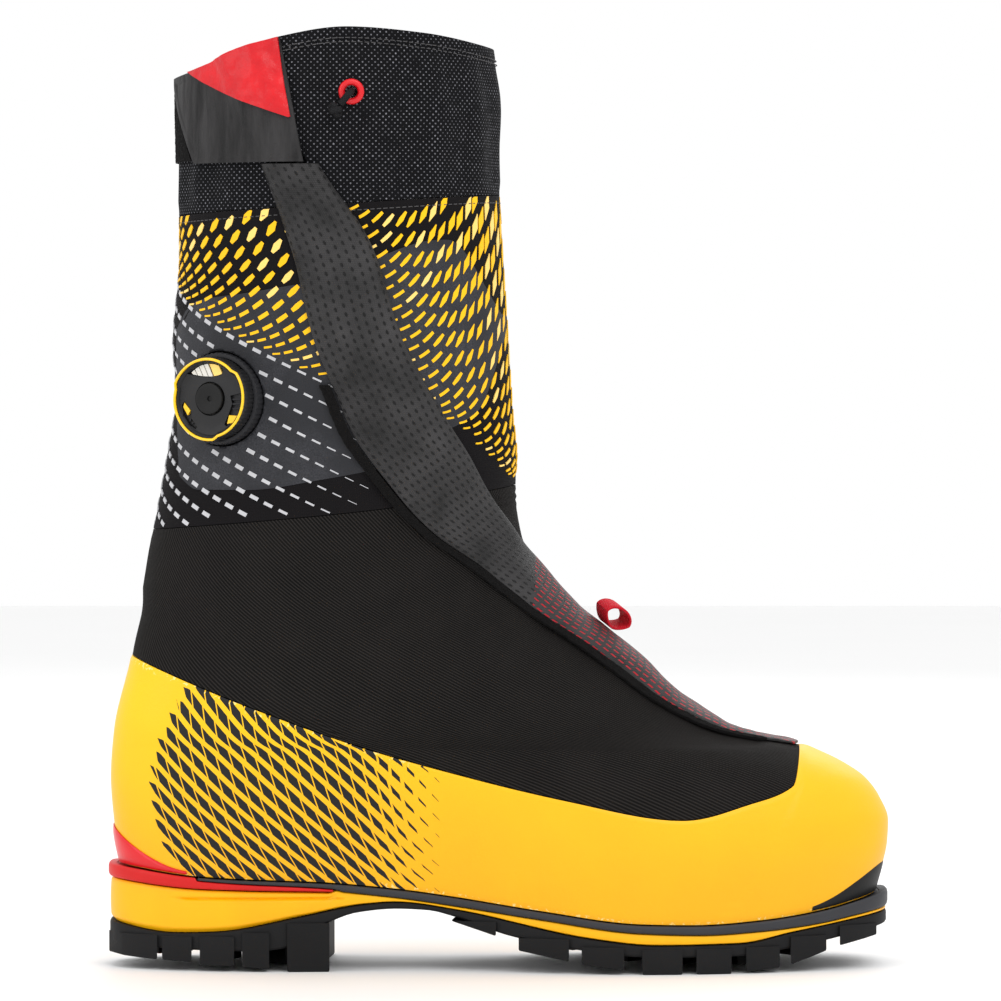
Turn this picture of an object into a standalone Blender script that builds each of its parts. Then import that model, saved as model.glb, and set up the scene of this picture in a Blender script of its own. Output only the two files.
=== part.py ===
"""A high-altitude double mountaineering boot: right foot, closed, standing on its sole.

The frame is metres with +X to the toe, +Y to the inner (medial) side and +Z up. Every wall of the upper
follows one skin surface: a stack of level slices, each an oval between the rear line and the front line.
A point of the skin is named by its height z and its angle phi round the slice, which is 0 at the front
and pi at the heel; the outer (lateral) side of the boot has negative y and negative phi. A wall is the
space between two depths under the skin.
"""

import math

import bmesh
import bpy
import numpy as np
from mathutils import Matrix, Vector

# ---------------------------------------------------------------- driving dimensions, in metres
SOLE_LENGTH = 0.3152
SOLE_WIDTH = 0.1100
BOOT_HEIGHT = 0.3760
SHAFT_WIDTH = 0.1060

GAP = 0.0003  # between pieces that touch
RAND_WALL = 0.0018
FABRIC_WALL = 0.0014
FABRIC_DEPTH = 0.0004  # the fabric lies this far under the rubber's outer face
TAPE_WALL = 0.0005
TAPE_SLACK = 0.0005  # between the gaiter and the zip tape under it
CHAIN_WALL = 0.0012
CHAIN_WIDTH = 0.0060
TAPE_WIDTH = 0.0240
SLIT_WIDTH = 0.0124  # of the gaiter along the zip
SHELL_WALL = 0.0018
TONGUE_WALL = 0.0015
LINER_WALL = 0.0036
LINER_FLOOR = 0.0030
BOARD_THICK = 0.0025
FOOTBED_THICK = 0.0035
CABLE_DIAMETER = 0.0012
CABLE_DEPTH = 0.0037
FLAP_WALL = 0.0010
FLAP_CROWN = 0.0032  # how far the flap's middle stands off its edges, over the slider
LOW_CROWN = 0.0012  # and below it
STRIP_WIDTH = 0.0045
STRIP_WALL = 0.0010
SOLE_BLUNT = 0.66
SOLE_MARGIN = 0.0016  # the sole's half width beyond the upper's
LEDGE_WIDTH = 0.0034  # the flat that a crampon's bail or clip rests on
LEDGE_STEP = 0.0004
LUG_ROOT = 0.0012  # how far a lug's top stays under the midsole
LUG_REACH = 0.0006  # lugs stand this far outside the sole's edge
LUG_LENGTH = 0.0240  # from the sole's edge inwards
LUG_SPINE = 0.0040  # lugs stop this far from the middle
LUG_TAPER = 0.0020
LUG_CORNERS = (0.0, 0.3, 0.7, 1.0)  # shares of a lug's length at which its outer face bends
EYELET_RADIUS = 0.0051
EYELET_HOLE = 0.0025
EYELET_BARREL = 0.0032
DRAWCORD_DIAMETER = 0.0028
KNOT_RADIUS = 0.0034
DIAL_RADIUS = 0.0186
DIAL_WALL = 0.0020
KNOB_RADIUS = 0.0172
KNOB_HEIGHT = 0.0074
DIAL_PULL = 0.0025
SPOOL_RADIUS = 0.0115
SPOOL_THICK = 0.0036
POST_RADIUS = 0.0020
GUIDE_RADIUS = 0.0026
LOOP_WIDTH = 0.0100
LOOP_WALL = 0.0012
LOOP_LONG = 0.0062  # half lengths of the loop's oval, along the instep and out of it
LOOP_HIGH = 0.0043
LOOP_CLEARANCE = 0.0006

COLUMNS = 32  # points round a slice
SOLE_COLUMNS = 48

# ---------------------------------------------------------------- the last: lines at the design size
DESIGN = Vector((0.3152, 0.1100, 0.3760))
STRETCH = Vector((SOLE_LENGTH / DESIGN.x, SOLE_WIDTH / DESIGN.y, BOOT_HEIGHT / DESIGN.z))
SHAFT_STRETCH = SHAFT_WIDTH / 0.1060

# rear and front ends of each slice: (height, x)
REAR_LINE = (
    (0.015, -0.1500), (0.042, -0.1526), (0.056, -0.1550), (0.076, -0.1565), (0.095, -0.1552),
    (0.124, -0.1486), (0.172, -0.1406), (0.210, -0.1338), (0.230, -0.1308), (0.250, -0.1322),
    (0.287, -0.1294), (0.322, -0.1294), (0.350, -0.1298), (0.378, -0.1262),
)
FRONT_LINE = (
    (0.015, 0.1490), (0.032, 0.1526), (0.050, 0.1570), (0.058, 0.1574), (0.067, 0.1540),
    (0.0745, 0.1485), (0.0805, 0.1400), (0.0852, 0.1305), (0.0888, 0.1212), (0.0908, 0.1100),
    (0.0957, 0.0925), (0.107, 0.0736), (0.118, 0.0614), (0.131, 0.0470), (0.144, 0.0306),
    (0.156, 0.0200), (0.173, 0.0098), (0.190, 0.0072), (0.206, 0.0080), (0.222, 0.0065),
    (0.252, 0.0046), (0.287, 0.0024), (0.328, 0.0002), (0.345, 0.0009), (0.378, -0.0030),
)
# half widths of the foot's ovals: (x, lateral, medial)
FOOT_WIDTHS = (
    (-0.157, 0.0480, 0.0480), (-0.110, 0.0465, 0.0465), (-0.060, 0.0390, 0.0375), (-0.025, 0.0370, 0.0340),
    (0.010, 0.0435, 0.0385), (0.045, 0.0520, 0.0475), (0.075, 0.0545, 0.0555), (0.110, 0.0555, 0.0575),
    (0.157, 0.0540, 0.0560),
)
# bluntness of the ovals: (height, at the toe's end, at the heel's end); 1 is an ellipse, less is blunter
BLUNTNESS = (
    (0.015, 0.66, 0.66), (0.045, 0.66, 0.68), (0.070, 0.76, 0.70), (0.095, 1.00, 0.73), (0.140, 1.00, 0.84),
    (0.190, 1.00, 0.95), (0.378, 1.00, 1.00),
)
SHAFT_HALVES = (
    (0.100, 0.0440), (0.150, 0.0440), (0.185, 0.0455), (0.215, 0.0490), (0.260, 0.0525), (0.300, 0.0530),
    (0.350, 0.0530), (0.378, 0.0520),
)
FOOT_TOP = 0.040
SHAFT_BOTTOM = 0.150
CENTRE_SHIFT = 0.0017  # keeps the boot's box even about its middle
TOE_SWING = 0.0060  # the toe's tip lies this far to the medial side
# heights along the boot: (x, z)
WELT_TOP = (
    (-0.146, 0.0402), (-0.121, 0.0372), (-0.069, 0.0350), (-0.041, 0.0325), (-0.016, 0.0291), (0.020, 0.0238),
    (0.057, 0.0194), (0.080, 0.0189), (0.105, 0.0204), (0.119, 0.0220), (0.132, 0.0242), (0.144, 0.0270),
)
TOE_LEDGE_START = 0.144  # from here to the toe the ledge is one flat
TOE_LEDGE_SLOPE = 0.26
HEEL_LEDGE_END = -0.146  # from here to the heel the ledge is one flat
HEEL_LEDGE_SLOPE = -0.122
FRAME_REAR = -0.120  # the grey frame reaches back to here, and lies on the red ledge's front part
RED_FRONT = -0.066
FRAME_THICK = (
    (-0.122, 0.0009), (-0.100, 0.0013), (-0.066, 0.0018), (-0.062, 0.0026), (-0.016, 0.0030), (0.020, 0.0028),
    (0.097, 0.0036), (0.138, 0.0048), (0.158, 0.0064),
)
RED_BOTTOM = ((-0.158, 0.0362), (-0.120, 0.0326), (-0.100, 0.0322), (-0.064, 0.0316))
OUTSOLE_BASE = (  # the outsole's underside between its lugs
    (-0.158, 0.0098), (-0.130, 0.0086), (-0.098, 0.0080), (-0.086, 0.0092), (-0.070, 0.0185),
    (-0.056, 0.0236),
    (-0.041, 0.0250), (-0.028, 0.0244), (-0.018, 0.0220), (0.004, 0.0148), (0.030, 0.0098), (0.064, 0.0066),
    (0.096, 0.0068), (0.117, 0.0096), (0.145, 0.0148), (0.158, 0.0172),
)
MIDSOLE_BOTTOM = (
    (-0.158, 0.0188), (-0.130, 0.0150), (-0.113, 0.0156), (-0.079, 0.0217), (-0.054, 0.0266),
    (-0.041, 0.0276),
    (-0.0160, 0.0244), (0.035, 0.0141), (0.064, 0.0112), (0.096, 0.0116), (0.117, 0.0156), (0.145, 0.0204),
    (0.158, 0.0225),
)
RAND_TOP = (
    (-0.157, 0.1290), (-0.138, 0.1210), (-0.0976, 0.1050), (-0.0428, 0.0860), (0.0286, 0.0685),
    (0.074, 0.0612),
    (0.1005, 0.0673), (0.1180, 0.0740), (0.1225, 0.0920), (0.158, 0.2300),
)
PRINT_BOTTOM = ((-0.150, 0.1750), (-0.043, 0.1850), (0.020, 0.1960))
CUFF_BOTTOM = ((-0.140, 0.3015), (-0.060, 0.3060), (0.010, 0.3110))
COLLAR_TOP = (
    (-0.135, 0.3560), (-0.117, 0.3610), (-0.086, 0.3724), (-0.060, 0.3760), (-0.030, 0.3740), (0.000, 0.3690),
)
SHELL_TOP = 0.250
TONGUE_TOP = 0.262
SLOT_BOTTOM = 0.124  # the shell is open in front from here up
LINER_TOP = 0.345
INNER_LEVELS = (0.054, 0.074, 0.087, 0.093, 0.099, 0.110, 0.124, 0.140, 0.158, 0.176, 0.196, 0.220, 0.250)

# the flap: (height, angle of its rear edge, angle of its front edge), in degrees
FLAP_EDGES = (
    (0.0885, -9.0, 9.0), (0.092, -14.0, 13.0), (0.102, -19.0, 15.0), (0.125, -28.0, 14.0),
    (0.149, -38.0, 8.0),
    (0.161, -45.0, 0.0), (0.177, -60.0, -19.0), (0.189, -69.0, -31.0), (0.215, -86.0, -50.0),
    (0.249, -97.0, -67.0), (0.291, -107.0, -79.0), (0.322, -117.0, -96.0), (0.378, -139.0, -118.0),
)
FLAP_TOP = 0.3215
TAB_REAR = ((0.322, -149.0), (0.357, -172.0))  # (height, angle)
TAB_HINGE_LOW = (0.3225, -0.0765)  # (height, x)
TAB_HINGE_HIGH = (0.3700, -0.0860)
STRIP_TOP = 0.234
ZIP_BOTTOM = 0.120
ZIP_TOP = 0.355
ZIP_STRAIGHT = 0.290  # the zip runs straight from here up
SLIDER_START = 0.347
SLIDER_WIDTH = 0.0090
SLIDER_LONG = 0.0140
PULL_SIZE = Vector((0.0050, 0.0010, 0.0170))

EYELET_PLACE = (0.350, -0.0582)  # (height, x)
DIAL_FACE = Vector((-0.1158, 0.0, 0.2284))
DIAL_LEAN = math.radians(28)  # from straight sideways, towards the heel
INSTEP_LOOP_HEIGHT = 0.1350

# outsole lugs of each side: (rear x, front x, rear bottom z, front bottom z)
LUGS = (
    (-0.0185, -0.0010, 0.0202, 0.0146),
    (-0.1570, -0.1365, 0.0056, 0.0042), (-0.1345, -0.1225, 0.0042, 0.0036),
    (-0.1192, -0.1054, 0.0024, 0.0024),
    (-0.1022, -0.0914, 0.0020, 0.0012), (-0.0842, -0.0674, 0.0, 0.0), (0.0080, 0.0280, 0.0090, 0.0050),
    (0.0330, 0.0498, 0.0040, 0.0018), (0.0570, 0.0730, 0.0, 0.0), (0.0786, 0.0926, 0.0, 0.0),
    (0.0985, 0.1120, 0.0008, 0.0020), (0.1165, 0.1310, 0.0030, 0.0080), (0.1365, 0.1520, 0.0098, 0.0130),
)
STUDS = (  # (x, y, half length, half width, bottom z)
    (-0.137, 0.0, 0.008, 0.010, 0.0046), (-0.112, 0.0, 0.008, 0.010, 0.0020),
    (-0.086, 0.0, 0.007, 0.009, 0.0),
    (0.030, 0.0, 0.007, 0.009, 0.0058), (0.052, -0.011, 0.007, 0.008, 0.0022),
    (0.052, 0.011, 0.007, 0.008, 0.0022),
    (0.074, 0.0, 0.008, 0.009, 0.0), (0.096, -0.010, 0.007, 0.008, 0.0006),
    (0.096, 0.012, 0.007, 0.008, 0.0006),
    (0.118, 0.002, 0.007, 0.010, 0.0034),
)


# ---------------------------------------------------------------- curves
def smooth(points, along, across):
    """A smooth curve through (place, value) points, stretched to the boot's size."""
    place = np.array([p[0] for p in points]) * along
    value = np.array([p[1] for p in points]) * across
    step = np.diff(place)
    slope = np.diff(value) / step
    tangent = np.zeros(len(place))
    tangent[0] = slope[0]
    tangent[-1] = slope[-1]
    same_way = slope[:-1] * slope[1:] > 0
    mean = 2 * slope[:-1] * slope[1:] / np.where(same_way, slope[:-1] + slope[1:], 1)
    tangent[1:-1] = np.where(same_way, mean, 0)

    def curve(at):
        at = np.clip(np.asarray(at, float), place[0], place[-1])
        i = np.clip(np.searchsorted(place, at) - 1, 0, len(step) - 1)
        t = (at - place[i]) / step[i]
        rise = (1 + 2 * t) * (1 - t) ** 2 * value[i] + t * t * (3 - 2 * t) * value[i + 1]
        return rise + t * (1 - t) * step[i] * ((1 - t) * tangent[i] - t * tangent[i + 1])

    return curve


def ease(t):
    t = np.clip(t, 0, 1)
    return t * t * (3 - 2 * t)


SX, SY, SZ = STRETCH
rear_line = smooth(REAR_LINE, SZ, SX)
front_line = smooth(FRONT_LINE, SZ, SX)
lateral_foot = smooth([(x, w) for x, w, _ in FOOT_WIDTHS], SX, SY)
medial_foot = smooth([(x, w) for x, _, w in FOOT_WIDTHS], SX, SY)
shaft_half = smooth(SHAFT_HALVES, SZ, SHAFT_STRETCH)
midsole_bottom = smooth(MIDSOLE_BOTTOM, SX, SZ)
rand_top = smooth(RAND_TOP, SX, SZ)
print_bottom = smooth(PRINT_BOTTOM, SX, SZ)
cuff_bottom = smooth(CUFF_BOTTOM, SX, SZ)
collar_top = smooth(COLLAR_TOP, SX, SZ)
welt_curve = smooth(WELT_TOP, SX, SZ)
toe_blunt = smooth([(z, t) for z, t, _ in BLUNTNESS], SZ, 1)
heel_blunt = smooth([(z, h) for z, _, h in BLUNTNESS], SZ, 1)
frame_thick = smooth(FRAME_THICK, SX, 1)
red_bottom = smooth(RED_BOTTOM, SX, SZ)
outsole_base = smooth(OUTSOLE_BASE, SX, SZ)
flap_rear = smooth([(z, math.radians(a)) for z, a, _ in FLAP_EDGES], SZ, 1)
flap_front = smooth([(z, math.radians(a)) for z, _, a in FLAP_EDGES], SZ, 1)
tab_rear = smooth([(z, math.radians(a)) for z, a in TAB_REAR], SZ, 1)


def welt_top(x):
    """Top of the sole's edge: a smooth line between the flat toe ledge and the flat heel ledge."""
    x = np.asarray(x, float)
    toe, heel = TOE_LEDGE_START * SX, HEEL_LEDGE_END * SX
    toe_flat = welt_curve(toe) + (x - toe) * TOE_LEDGE_SLOPE * SZ / SX
    heel_flat = welt_curve(heel) + (x - heel) * HEEL_LEDGE_SLOPE * SZ / SX
    return np.where(x > toe, toe_flat, np.where(x < heel, heel_flat, welt_curve(x)))


def middle(x):
    return CENTRE_SHIFT + TOE_SWING * SY * ease((np.asarray(x) / SX - 0.050) / 0.110)


def oval(share, blunt):
    """Half width of a unit oval at a share of its half length."""
    return np.maximum(0, 1 - np.asarray(share) ** 2) ** (blunt / 2)


# ---------------------------------------------------------------- the skin
def skin(z, phi):
    z, phi = np.broadcast_arrays(np.asarray(z, float), np.asarray(phi, float))
    rear = rear_line(z)
    front = front_line(z)
    x = (front + rear) / 2 + (front - rear) / 2 * np.cos(phi)
    foot = np.where(np.sin(phi) < 0, lateral_foot(x), medial_foot(x))
    rise = ease((z / SZ - FOOT_TOP) / (SHAFT_BOTTOM - FOOT_TOP))
    half = foot * (1 - rise) + shaft_half(z) * rise
    blunt = np.where(np.cos(phi) > 0, toe_blunt(z), heel_blunt(z))
    y = middle(x) + np.sign(np.sin(phi)) * half * np.abs(np.sin(phi)) ** blunt
    return np.stack([x, y, z], axis=-1)


def outward(z, phi):
    z, phi = np.broadcast_arrays(np.asarray(z, float), np.asarray(phi, float))
    tiny = 1e-4
    round_it = skin(z, phi + tiny) - skin(z, phi - tiny)
    up = skin(z + tiny, phi) - skin(z - tiny, phi)
    normal = np.cross(round_it, up)
    return normal / np.linalg.norm(normal, axis=-1, keepdims=True)


def under(z, phi, depth):
    """The point at a depth under the skin; a negative depth lies outside it."""
    return skin(z, phi) - outward(z, phi) * np.asarray(depth)[..., None]


def angle_at(z, x):
    """The lateral angle at which a slice reaches x."""
    rear = rear_line(z)
    front = front_line(z)
    return -np.arccos(np.clip((x - (front + rear) / 2) / ((front - rear) / 2), -1, 1))


def height_on(line, phi, raise_by=0.0):
    """The height at which each angle's path up the skin crosses a line of heights along the boot."""
    low = np.full(np.shape(phi), 0.015 * SZ)
    high = np.full(np.shape(phi), 0.378 * SZ)
    for _ in range(40):
        mid = (low + high) / 2
        above = mid > line(skin(mid, phi)[..., 0]) + raise_by
        high = np.where(above, mid, high)
        low = np.where(above, low, mid)
    return (low + high) / 2


HEIGHTS = np.linspace(0.015, 0.378, 200) * SZ
TRAVEL = np.cumsum(np.hypot(np.gradient(front_line(HEIGHTS)) * 0.6, np.gradient(HEIGHTS)))


def climb(low, high, rows):
    """Heights from low to high, closer together where the instep and toe lie flat."""
    start = np.interp(low, HEIGHTS, TRAVEL)
    end = np.interp(high, HEIGHTS, TRAVEL)
    steps = np.linspace(0, 1, rows + 1).reshape((-1,) + (1,) * np.ndim(low))
    return np.interp(start + (end - start) * steps, TRAVEL, HEIGHTS)


def shell_depth(z, phi):
    """The inner boot lies deeper in the shaft, where cables pass over it."""
    x = skin(z, phi)[..., 0]
    return 0.0034 + 0.0022 * ease((0.060 - x / SX) / 0.060)


def inner_heights(low, high):
    """Heights that the shell, tongue and liner share, so that their facets lie parallel."""
    shared = [level * SZ for level in INNER_LEVELS]
    between = [level for level in shared if low.max() + 0.002 < level < high - 0.004]
    return np.stack([low] + [level * np.ones_like(low) for level in between] + [high * np.ones_like(low)])


def round_about(columns):
    """Angles round a slice, closer together at the toe and heel."""
    turn = np.linspace(0, 2 * math.pi, columns, endpoint=False)
    return turn - 0.15 * np.sin(2 * turn)


RING = round_about(COLUMNS)
SOLE_RING = round_about(SOLE_COLUMNS)


# ---------------------------------------------------------------- building solids
def paint(obj, colour, roughness, metallic=0.0):
    material = bpy.data.materials.new(obj.name)
    material.use_nodes = True
    shader = material.node_tree.nodes["Principled BSDF"]
    shader.inputs["Base Color"].default_value = (*colour, 1)
    shader.inputs["Roughness"].default_value = roughness
    shader.inputs["Metallic"].default_value = metallic
    obj.data.materials.append(material)


def add(name, points, faces, look, origin=None):
    mesh = bpy.data.meshes.new(name)
    work = bmesh.new()
    verts = [work.verts.new(p) for p in points]
    for face in faces:
        work.faces.new([verts[i] for i in face])
    bmesh.ops.recalc_face_normals(work, faces=work.faces)
    bmesh.ops.triangulate(work, faces=work.faces)
    work.to_mesh(mesh)
    work.free()
    obj = bpy.data.objects.new(name, mesh)
    bpy.context.collection.objects.link(obj)
    if origin is not None:
        mesh.transform(Matrix.Translation(-Vector(origin)))
        obj.location = origin
    mesh.shade_smooth()
    mesh.set_sharp_from_angle(angle=math.radians(35))
    paint(obj, *look)
    return obj


def wall(name, outer, inner, closed, look, origin=None):
    """A solid between two grids of points, rows going up and columns going round."""
    rows, columns = outer.shape[:2]
    points = np.concatenate([outer.reshape(-1, 3), inner.reshape(-1, 3)])
    side = rows * columns
    faces = []
    spans = columns if closed else columns - 1
    for c in range(spans):
        d = (c + 1) % columns
        for r in range(rows - 1):
            quad = (r * columns + c, r * columns + d, (r + 1) * columns + d, (r + 1) * columns + c)
            faces.append(quad)
            faces.append(tuple(side + i for i in reversed(quad)))
        top = (rows - 1) * columns
        faces.append((c, side + c, side + d, d))
        faces.append((top + c, top + d, side + top + d, side + top + c))
    if not closed:
        for c in (0, columns - 1):
            for r in range(rows - 1):
                a = r * columns + c
                b = a + columns
                faces.append((a, b, side + b, side + a) if c == 0 else (a, side + a, side + b, b))
    return add(name, points, faces, look, origin)


def across(first, columns):
    """Faces that span a ring of points from side to side; first is the ring's first point."""
    half = columns // 2
    faces = [(first, first + 1, first + columns - 1), (first + half - 1, first + half, first + half + 1)]
    for c in range(1, half - 1):
        faces.append((first + c, first + c + 1, first + columns - c - 1, first + columns - c))
    return faces


def slab(name, rings, look):
    """A solid from a stack of rings, bottom first, closed below and above."""
    rows, columns = len(rings), len(rings[0])
    points = np.concatenate(rings)
    faces = across(0, columns) + across((rows - 1) * columns, columns)
    for r in range(rows - 1):
        for c in range(columns):
            d = (c + 1) % columns
            faces.append((r * columns + c, r * columns + d, (r + 1) * columns + d, (r + 1) * columns + c))
    return add(name, points, faces, look)


def cup(name, outer, inner, look):
    """A solid like a sock: two grids that each end below in a floor, joined by a rim."""
    rows, columns = outer.shape[:2]
    side = rows * columns
    points = np.concatenate([outer.reshape(-1, 3), inner.reshape(-1, 3)])
    faces = across(0, columns) + across(side, columns)
    top = (rows - 1) * columns
    for c in range(columns):
        d = (c + 1) % columns
        for r in range(rows - 1):
            quad = (r * columns + c, r * columns + d, (r + 1) * columns + d, (r + 1) * columns + c)
            faces.append(quad)
            faces.append(tuple(side + i for i in reversed(quad)))
        faces.append((top + c, top + d, side + top + d, side + top + c))
    return add(name, points, faces, look)


def turned(name, profile, centre, axis, look, sides=32):
    """A ring or disc turned round an axis; profile is (radius, distance along the axis)."""
    axis = Vector(axis).normalized()
    side = axis.cross(Vector((0, 0, 1))).normalized()
    up = side.cross(axis)
    points = []
    faces = []
    poles = {}
    for k, (radius, along) in enumerate(profile):
        if radius < 1e-7:
            poles[k] = len(points)
            points.append(Vector(centre) + axis * along)
            continue
        poles[k] = len(points)
        for i in range(sides):
            turn = 2 * math.pi * i / sides
            points.append(
                Vector(centre) + axis * along + radius * (side * math.cos(turn) + up * math.sin(turn))
            )
    count = len(profile)
    for k in range(count):
        m = (k + 1) % count
        flat_k, flat_m = profile[k][0] < 1e-7, profile[m][0] < 1e-7
        if flat_k and flat_m:
            continue
        for i in range(sides):
            j = (i + 1) % sides
            a, b = poles[k], poles[m]
            if flat_k:
                faces.append((a, b + i, b + j))
            elif flat_m:
                faces.append((a + i, b, a + j))
            else:
                faces.append((a + i, a + j, b + j, b + i))
    return add(name, points, faces, look, origin=centre)


def prism(plan, bottoms, top):
    """An upright block on a plan of (x, y) corners, each with its own bottom height."""
    count = len(plan)
    points = [(x, y, z) for (x, y), z in zip(plan, bottoms)] + [(x, y, top) for x, y in plan]
    faces = [tuple(range(count)), tuple(reversed(range(count, 2 * count)))]
    for i in range(count):
        j = (i + 1) % count
        faces.append((i, j, count + j, count + i))
    return points, faces


def tool(name, points, faces):
    """A shape used only to cut or to join another."""
    obj = add(name, points, faces, ((0.5, 0.5, 0.5), 0.5))
    obj.hide_render = True
    obj.display_type = "WIRE"
    return obj


def boolean(target, other, operation, solver="EXACT"):
    modifier = target.modifiers.new(other.name, "BOOLEAN")
    modifier.operation = operation
    modifier.object = other
    modifier.solver = solver


def tube(name, points, diameter, look):
    curve = bpy.data.curves.new(name, "CURVE")
    curve.dimensions = "3D"
    curve.bevel_depth = diameter / 2
    curve.bevel_resolution = 2
    curve.render_resolution_u = 0
    curve.use_fill_caps = True
    spline = curve.splines.new("POLY")
    spline.points.add(len(points) - 1)
    for point, place in zip(spline.points, points):
        point.co = (*place, 1)
    obj = bpy.data.objects.new(name, curve)
    bpy.context.collection.objects.link(obj)
    paint(obj, *look)
    return obj


def through(points, pieces):
    """A smooth curve through the points, cut into straight pieces."""
    points = np.array(points, float)
    padded = np.concatenate([[2 * points[0] - points[1]], points, [2 * points[-1] - points[-2]]])
    places = []
    for at in np.linspace(0, len(points) - 1, pieces + 1):
        i = min(int(at), len(points) - 2)
        t = at - i
        a, b, c, d = padded[i : i + 4]
        bend = (2 * a - 5 * b + 4 * c - d) * t**2 + (3 * (b - c) + d - a) * t**3
        places.append(0.5 * (2 * b + (c - a) * t + bend))
    return np.array(places)


# ---------------------------------------------------------------- looks
YELLOW = ((0.93, 0.50, 0.01), 0.45)
RED = ((0.75, 0.02, 0.02), 0.35)
GREY = ((0.06, 0.06, 0.065), 0.5)
BLACK_RUBBER = ((0.012, 0.012, 0.012), 0.6)
BLACK_FABRIC = ((0.010, 0.010, 0.012), 0.9)
CHARCOAL = ((0.035, 0.035, 0.038), 0.55)
PALE = ((0.55, 0.55, 0.52), 0.8)
STEEL = ((0.55, 0.55, 0.56), 0.3, 1.0)


# ---------------------------------------------------------------- sole
def sole_ring(margin, height):
    """A ring round the sole: margin is how far it lies inside the sole's edge, height a line or number."""
    half = SOLE_LENGTH / 2 - margin
    x = half * np.cos(SOLE_RING)
    foot = np.where(np.sin(SOLE_RING) < 0, lateral_foot(x), medial_foot(x)) + SOLE_MARGIN - margin
    y = middle(x) + foot * np.sign(np.sin(SOLE_RING)) * oval(np.cos(SOLE_RING), SOLE_BLUNT)
    z = height(x) if callable(height) else np.full(len(x), height)
    return np.stack([x, y, z], axis=-1)


def sole_edge(x, side):
    foot = float(lateral_foot(x) if side < 0 else medial_foot(x)) + SOLE_MARGIN
    return float(middle(x)) + side * foot * float(oval(x / (SOLE_LENGTH / 2), SOLE_BLUNT))


def arc_ring(stations, margin, height):
    """Part of a ring round the sole: stations are shares of its half length, from the lateral side round."""
    share = np.concatenate([stations, stations[-2::-1]])
    side = np.where(np.arange(len(share)) < len(stations), -1, 1)
    x = share * SOLE_LENGTH / 2 - margin * share**9
    foot = np.where(side < 0, lateral_foot(x), medial_foot(x)) + SOLE_MARGIN - margin
    y = middle(x) + side * foot * oval(share, SOLE_BLUNT)
    return np.stack([x, y, height(x)], axis=-1)


def deck(name, stations, layers, look):
    """A plate under part of the foot, from (margin, height) layers, with one straight end."""
    rings = [arc_ring(stations, margin, height) for margin, height in layers]
    columns = len(rings[0])
    faces = []
    for r in range(len(rings) - 1):
        for c in range(columns - 1):
            a = r * columns + c
            faces.append((a, a + 1, a + columns + 1, a + columns))
        first, last = r * columns, r * columns + columns - 1
        faces.append((first, first + columns, last + columns, last))
    for first in (0, (len(rings) - 1) * columns):
        pole = first + columns // 2
        faces.append((pole - 1, pole, pole + 1))
        for c in range(columns // 2 - 1):
            faces.append((first + c, first + c + 1, first + columns - 2 - c, first + columns - 1 - c))
    return add(name, np.concatenate(rings), faces, look)


def rounded_shares(pole, end, count):
    """Shares of the half length from a straight end to a round pole, close together at the pole."""
    turn = np.linspace(math.acos(end / pole), 0, count)
    return pole * np.cos(turn)


def frame_bottom(x):
    return welt_top(x) - frame_thick(x)


def sole_seam(x):
    """Where the midsole meets what is above it: the red ledge at the heel, and the grey frame elsewhere."""
    return np.where(x < RED_FRONT * SX, red_bottom(x), frame_bottom(x))


def ledge_layers(bottom, top):
    """A plate with a flat rim that a crampon can hold, and a shallow seat inside it for the upper."""
    return (
        (0.0006, bottom),
        (0.0, lambda x: bottom(x) + 0.25 * (top(x) - bottom(x))),
        (0.0, lambda x: bottom(x) + 0.75 * (top(x) - bottom(x))),
        (0.0006, top),
        (LEDGE_WIDTH, top),
        (LEDGE_WIDTH + 0.0002, lambda x: top(x) - np.minimum(LEDGE_STEP, 0.5 * (top(x) - bottom(x)))),
    )


def shared_shares():
    """Stations where the grey frame lies on the red ledge, from the frame's rear end forward."""
    return np.linspace(FRAME_REAR, RED_FRONT, 6) * SX / (SOLE_LENGTH / 2)


def make_welt():
    shared = shared_shares()
    stations = np.concatenate([shared, rounded_shares(1, shared[-1] + 0.028, 22)])
    return deck("welt", stations, ledge_layers(frame_bottom, welt_top), GREY)


def make_heel_ledge():
    """The red rear ledge: a full plate behind the grey frame, and a thin one under the frame's rear end."""
    shared = shared_shares()
    half = SOLE_LENGTH / 2
    step = shared[0] - 0.007
    stations = np.concatenate([shared[::-1], [shared[0] - 0.003], -rounded_shares(1, -step, 14)])

    def top(x):
        under_frame = np.maximum(frame_bottom(x) - GAP, red_bottom(x) + 2 * GAP)
        return np.where(x > (step + 0.002) * half, under_frame, welt_top(x))

    def bottom(x):
        return red_bottom(x) + GAP

    return deck("heel_ledge", stations, ledge_layers(bottom, top), RED)


def make_midsole():
    def top(x):
        return sole_seam(x) - GAP

    rings = [
        sole_ring(0.0030, lambda x: midsole_bottom(x) + GAP),
        sole_ring(0.0014, lambda x: midsole_bottom(x) + 0.3 * (top(x) - midsole_bottom(x))),
        sole_ring(0.0006, lambda x: midsole_bottom(x) + 0.8 * (top(x) - midsole_bottom(x))),
        sole_ring(0.0012, top),
    ]
    return slab("midsole", rings, YELLOW)


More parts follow.
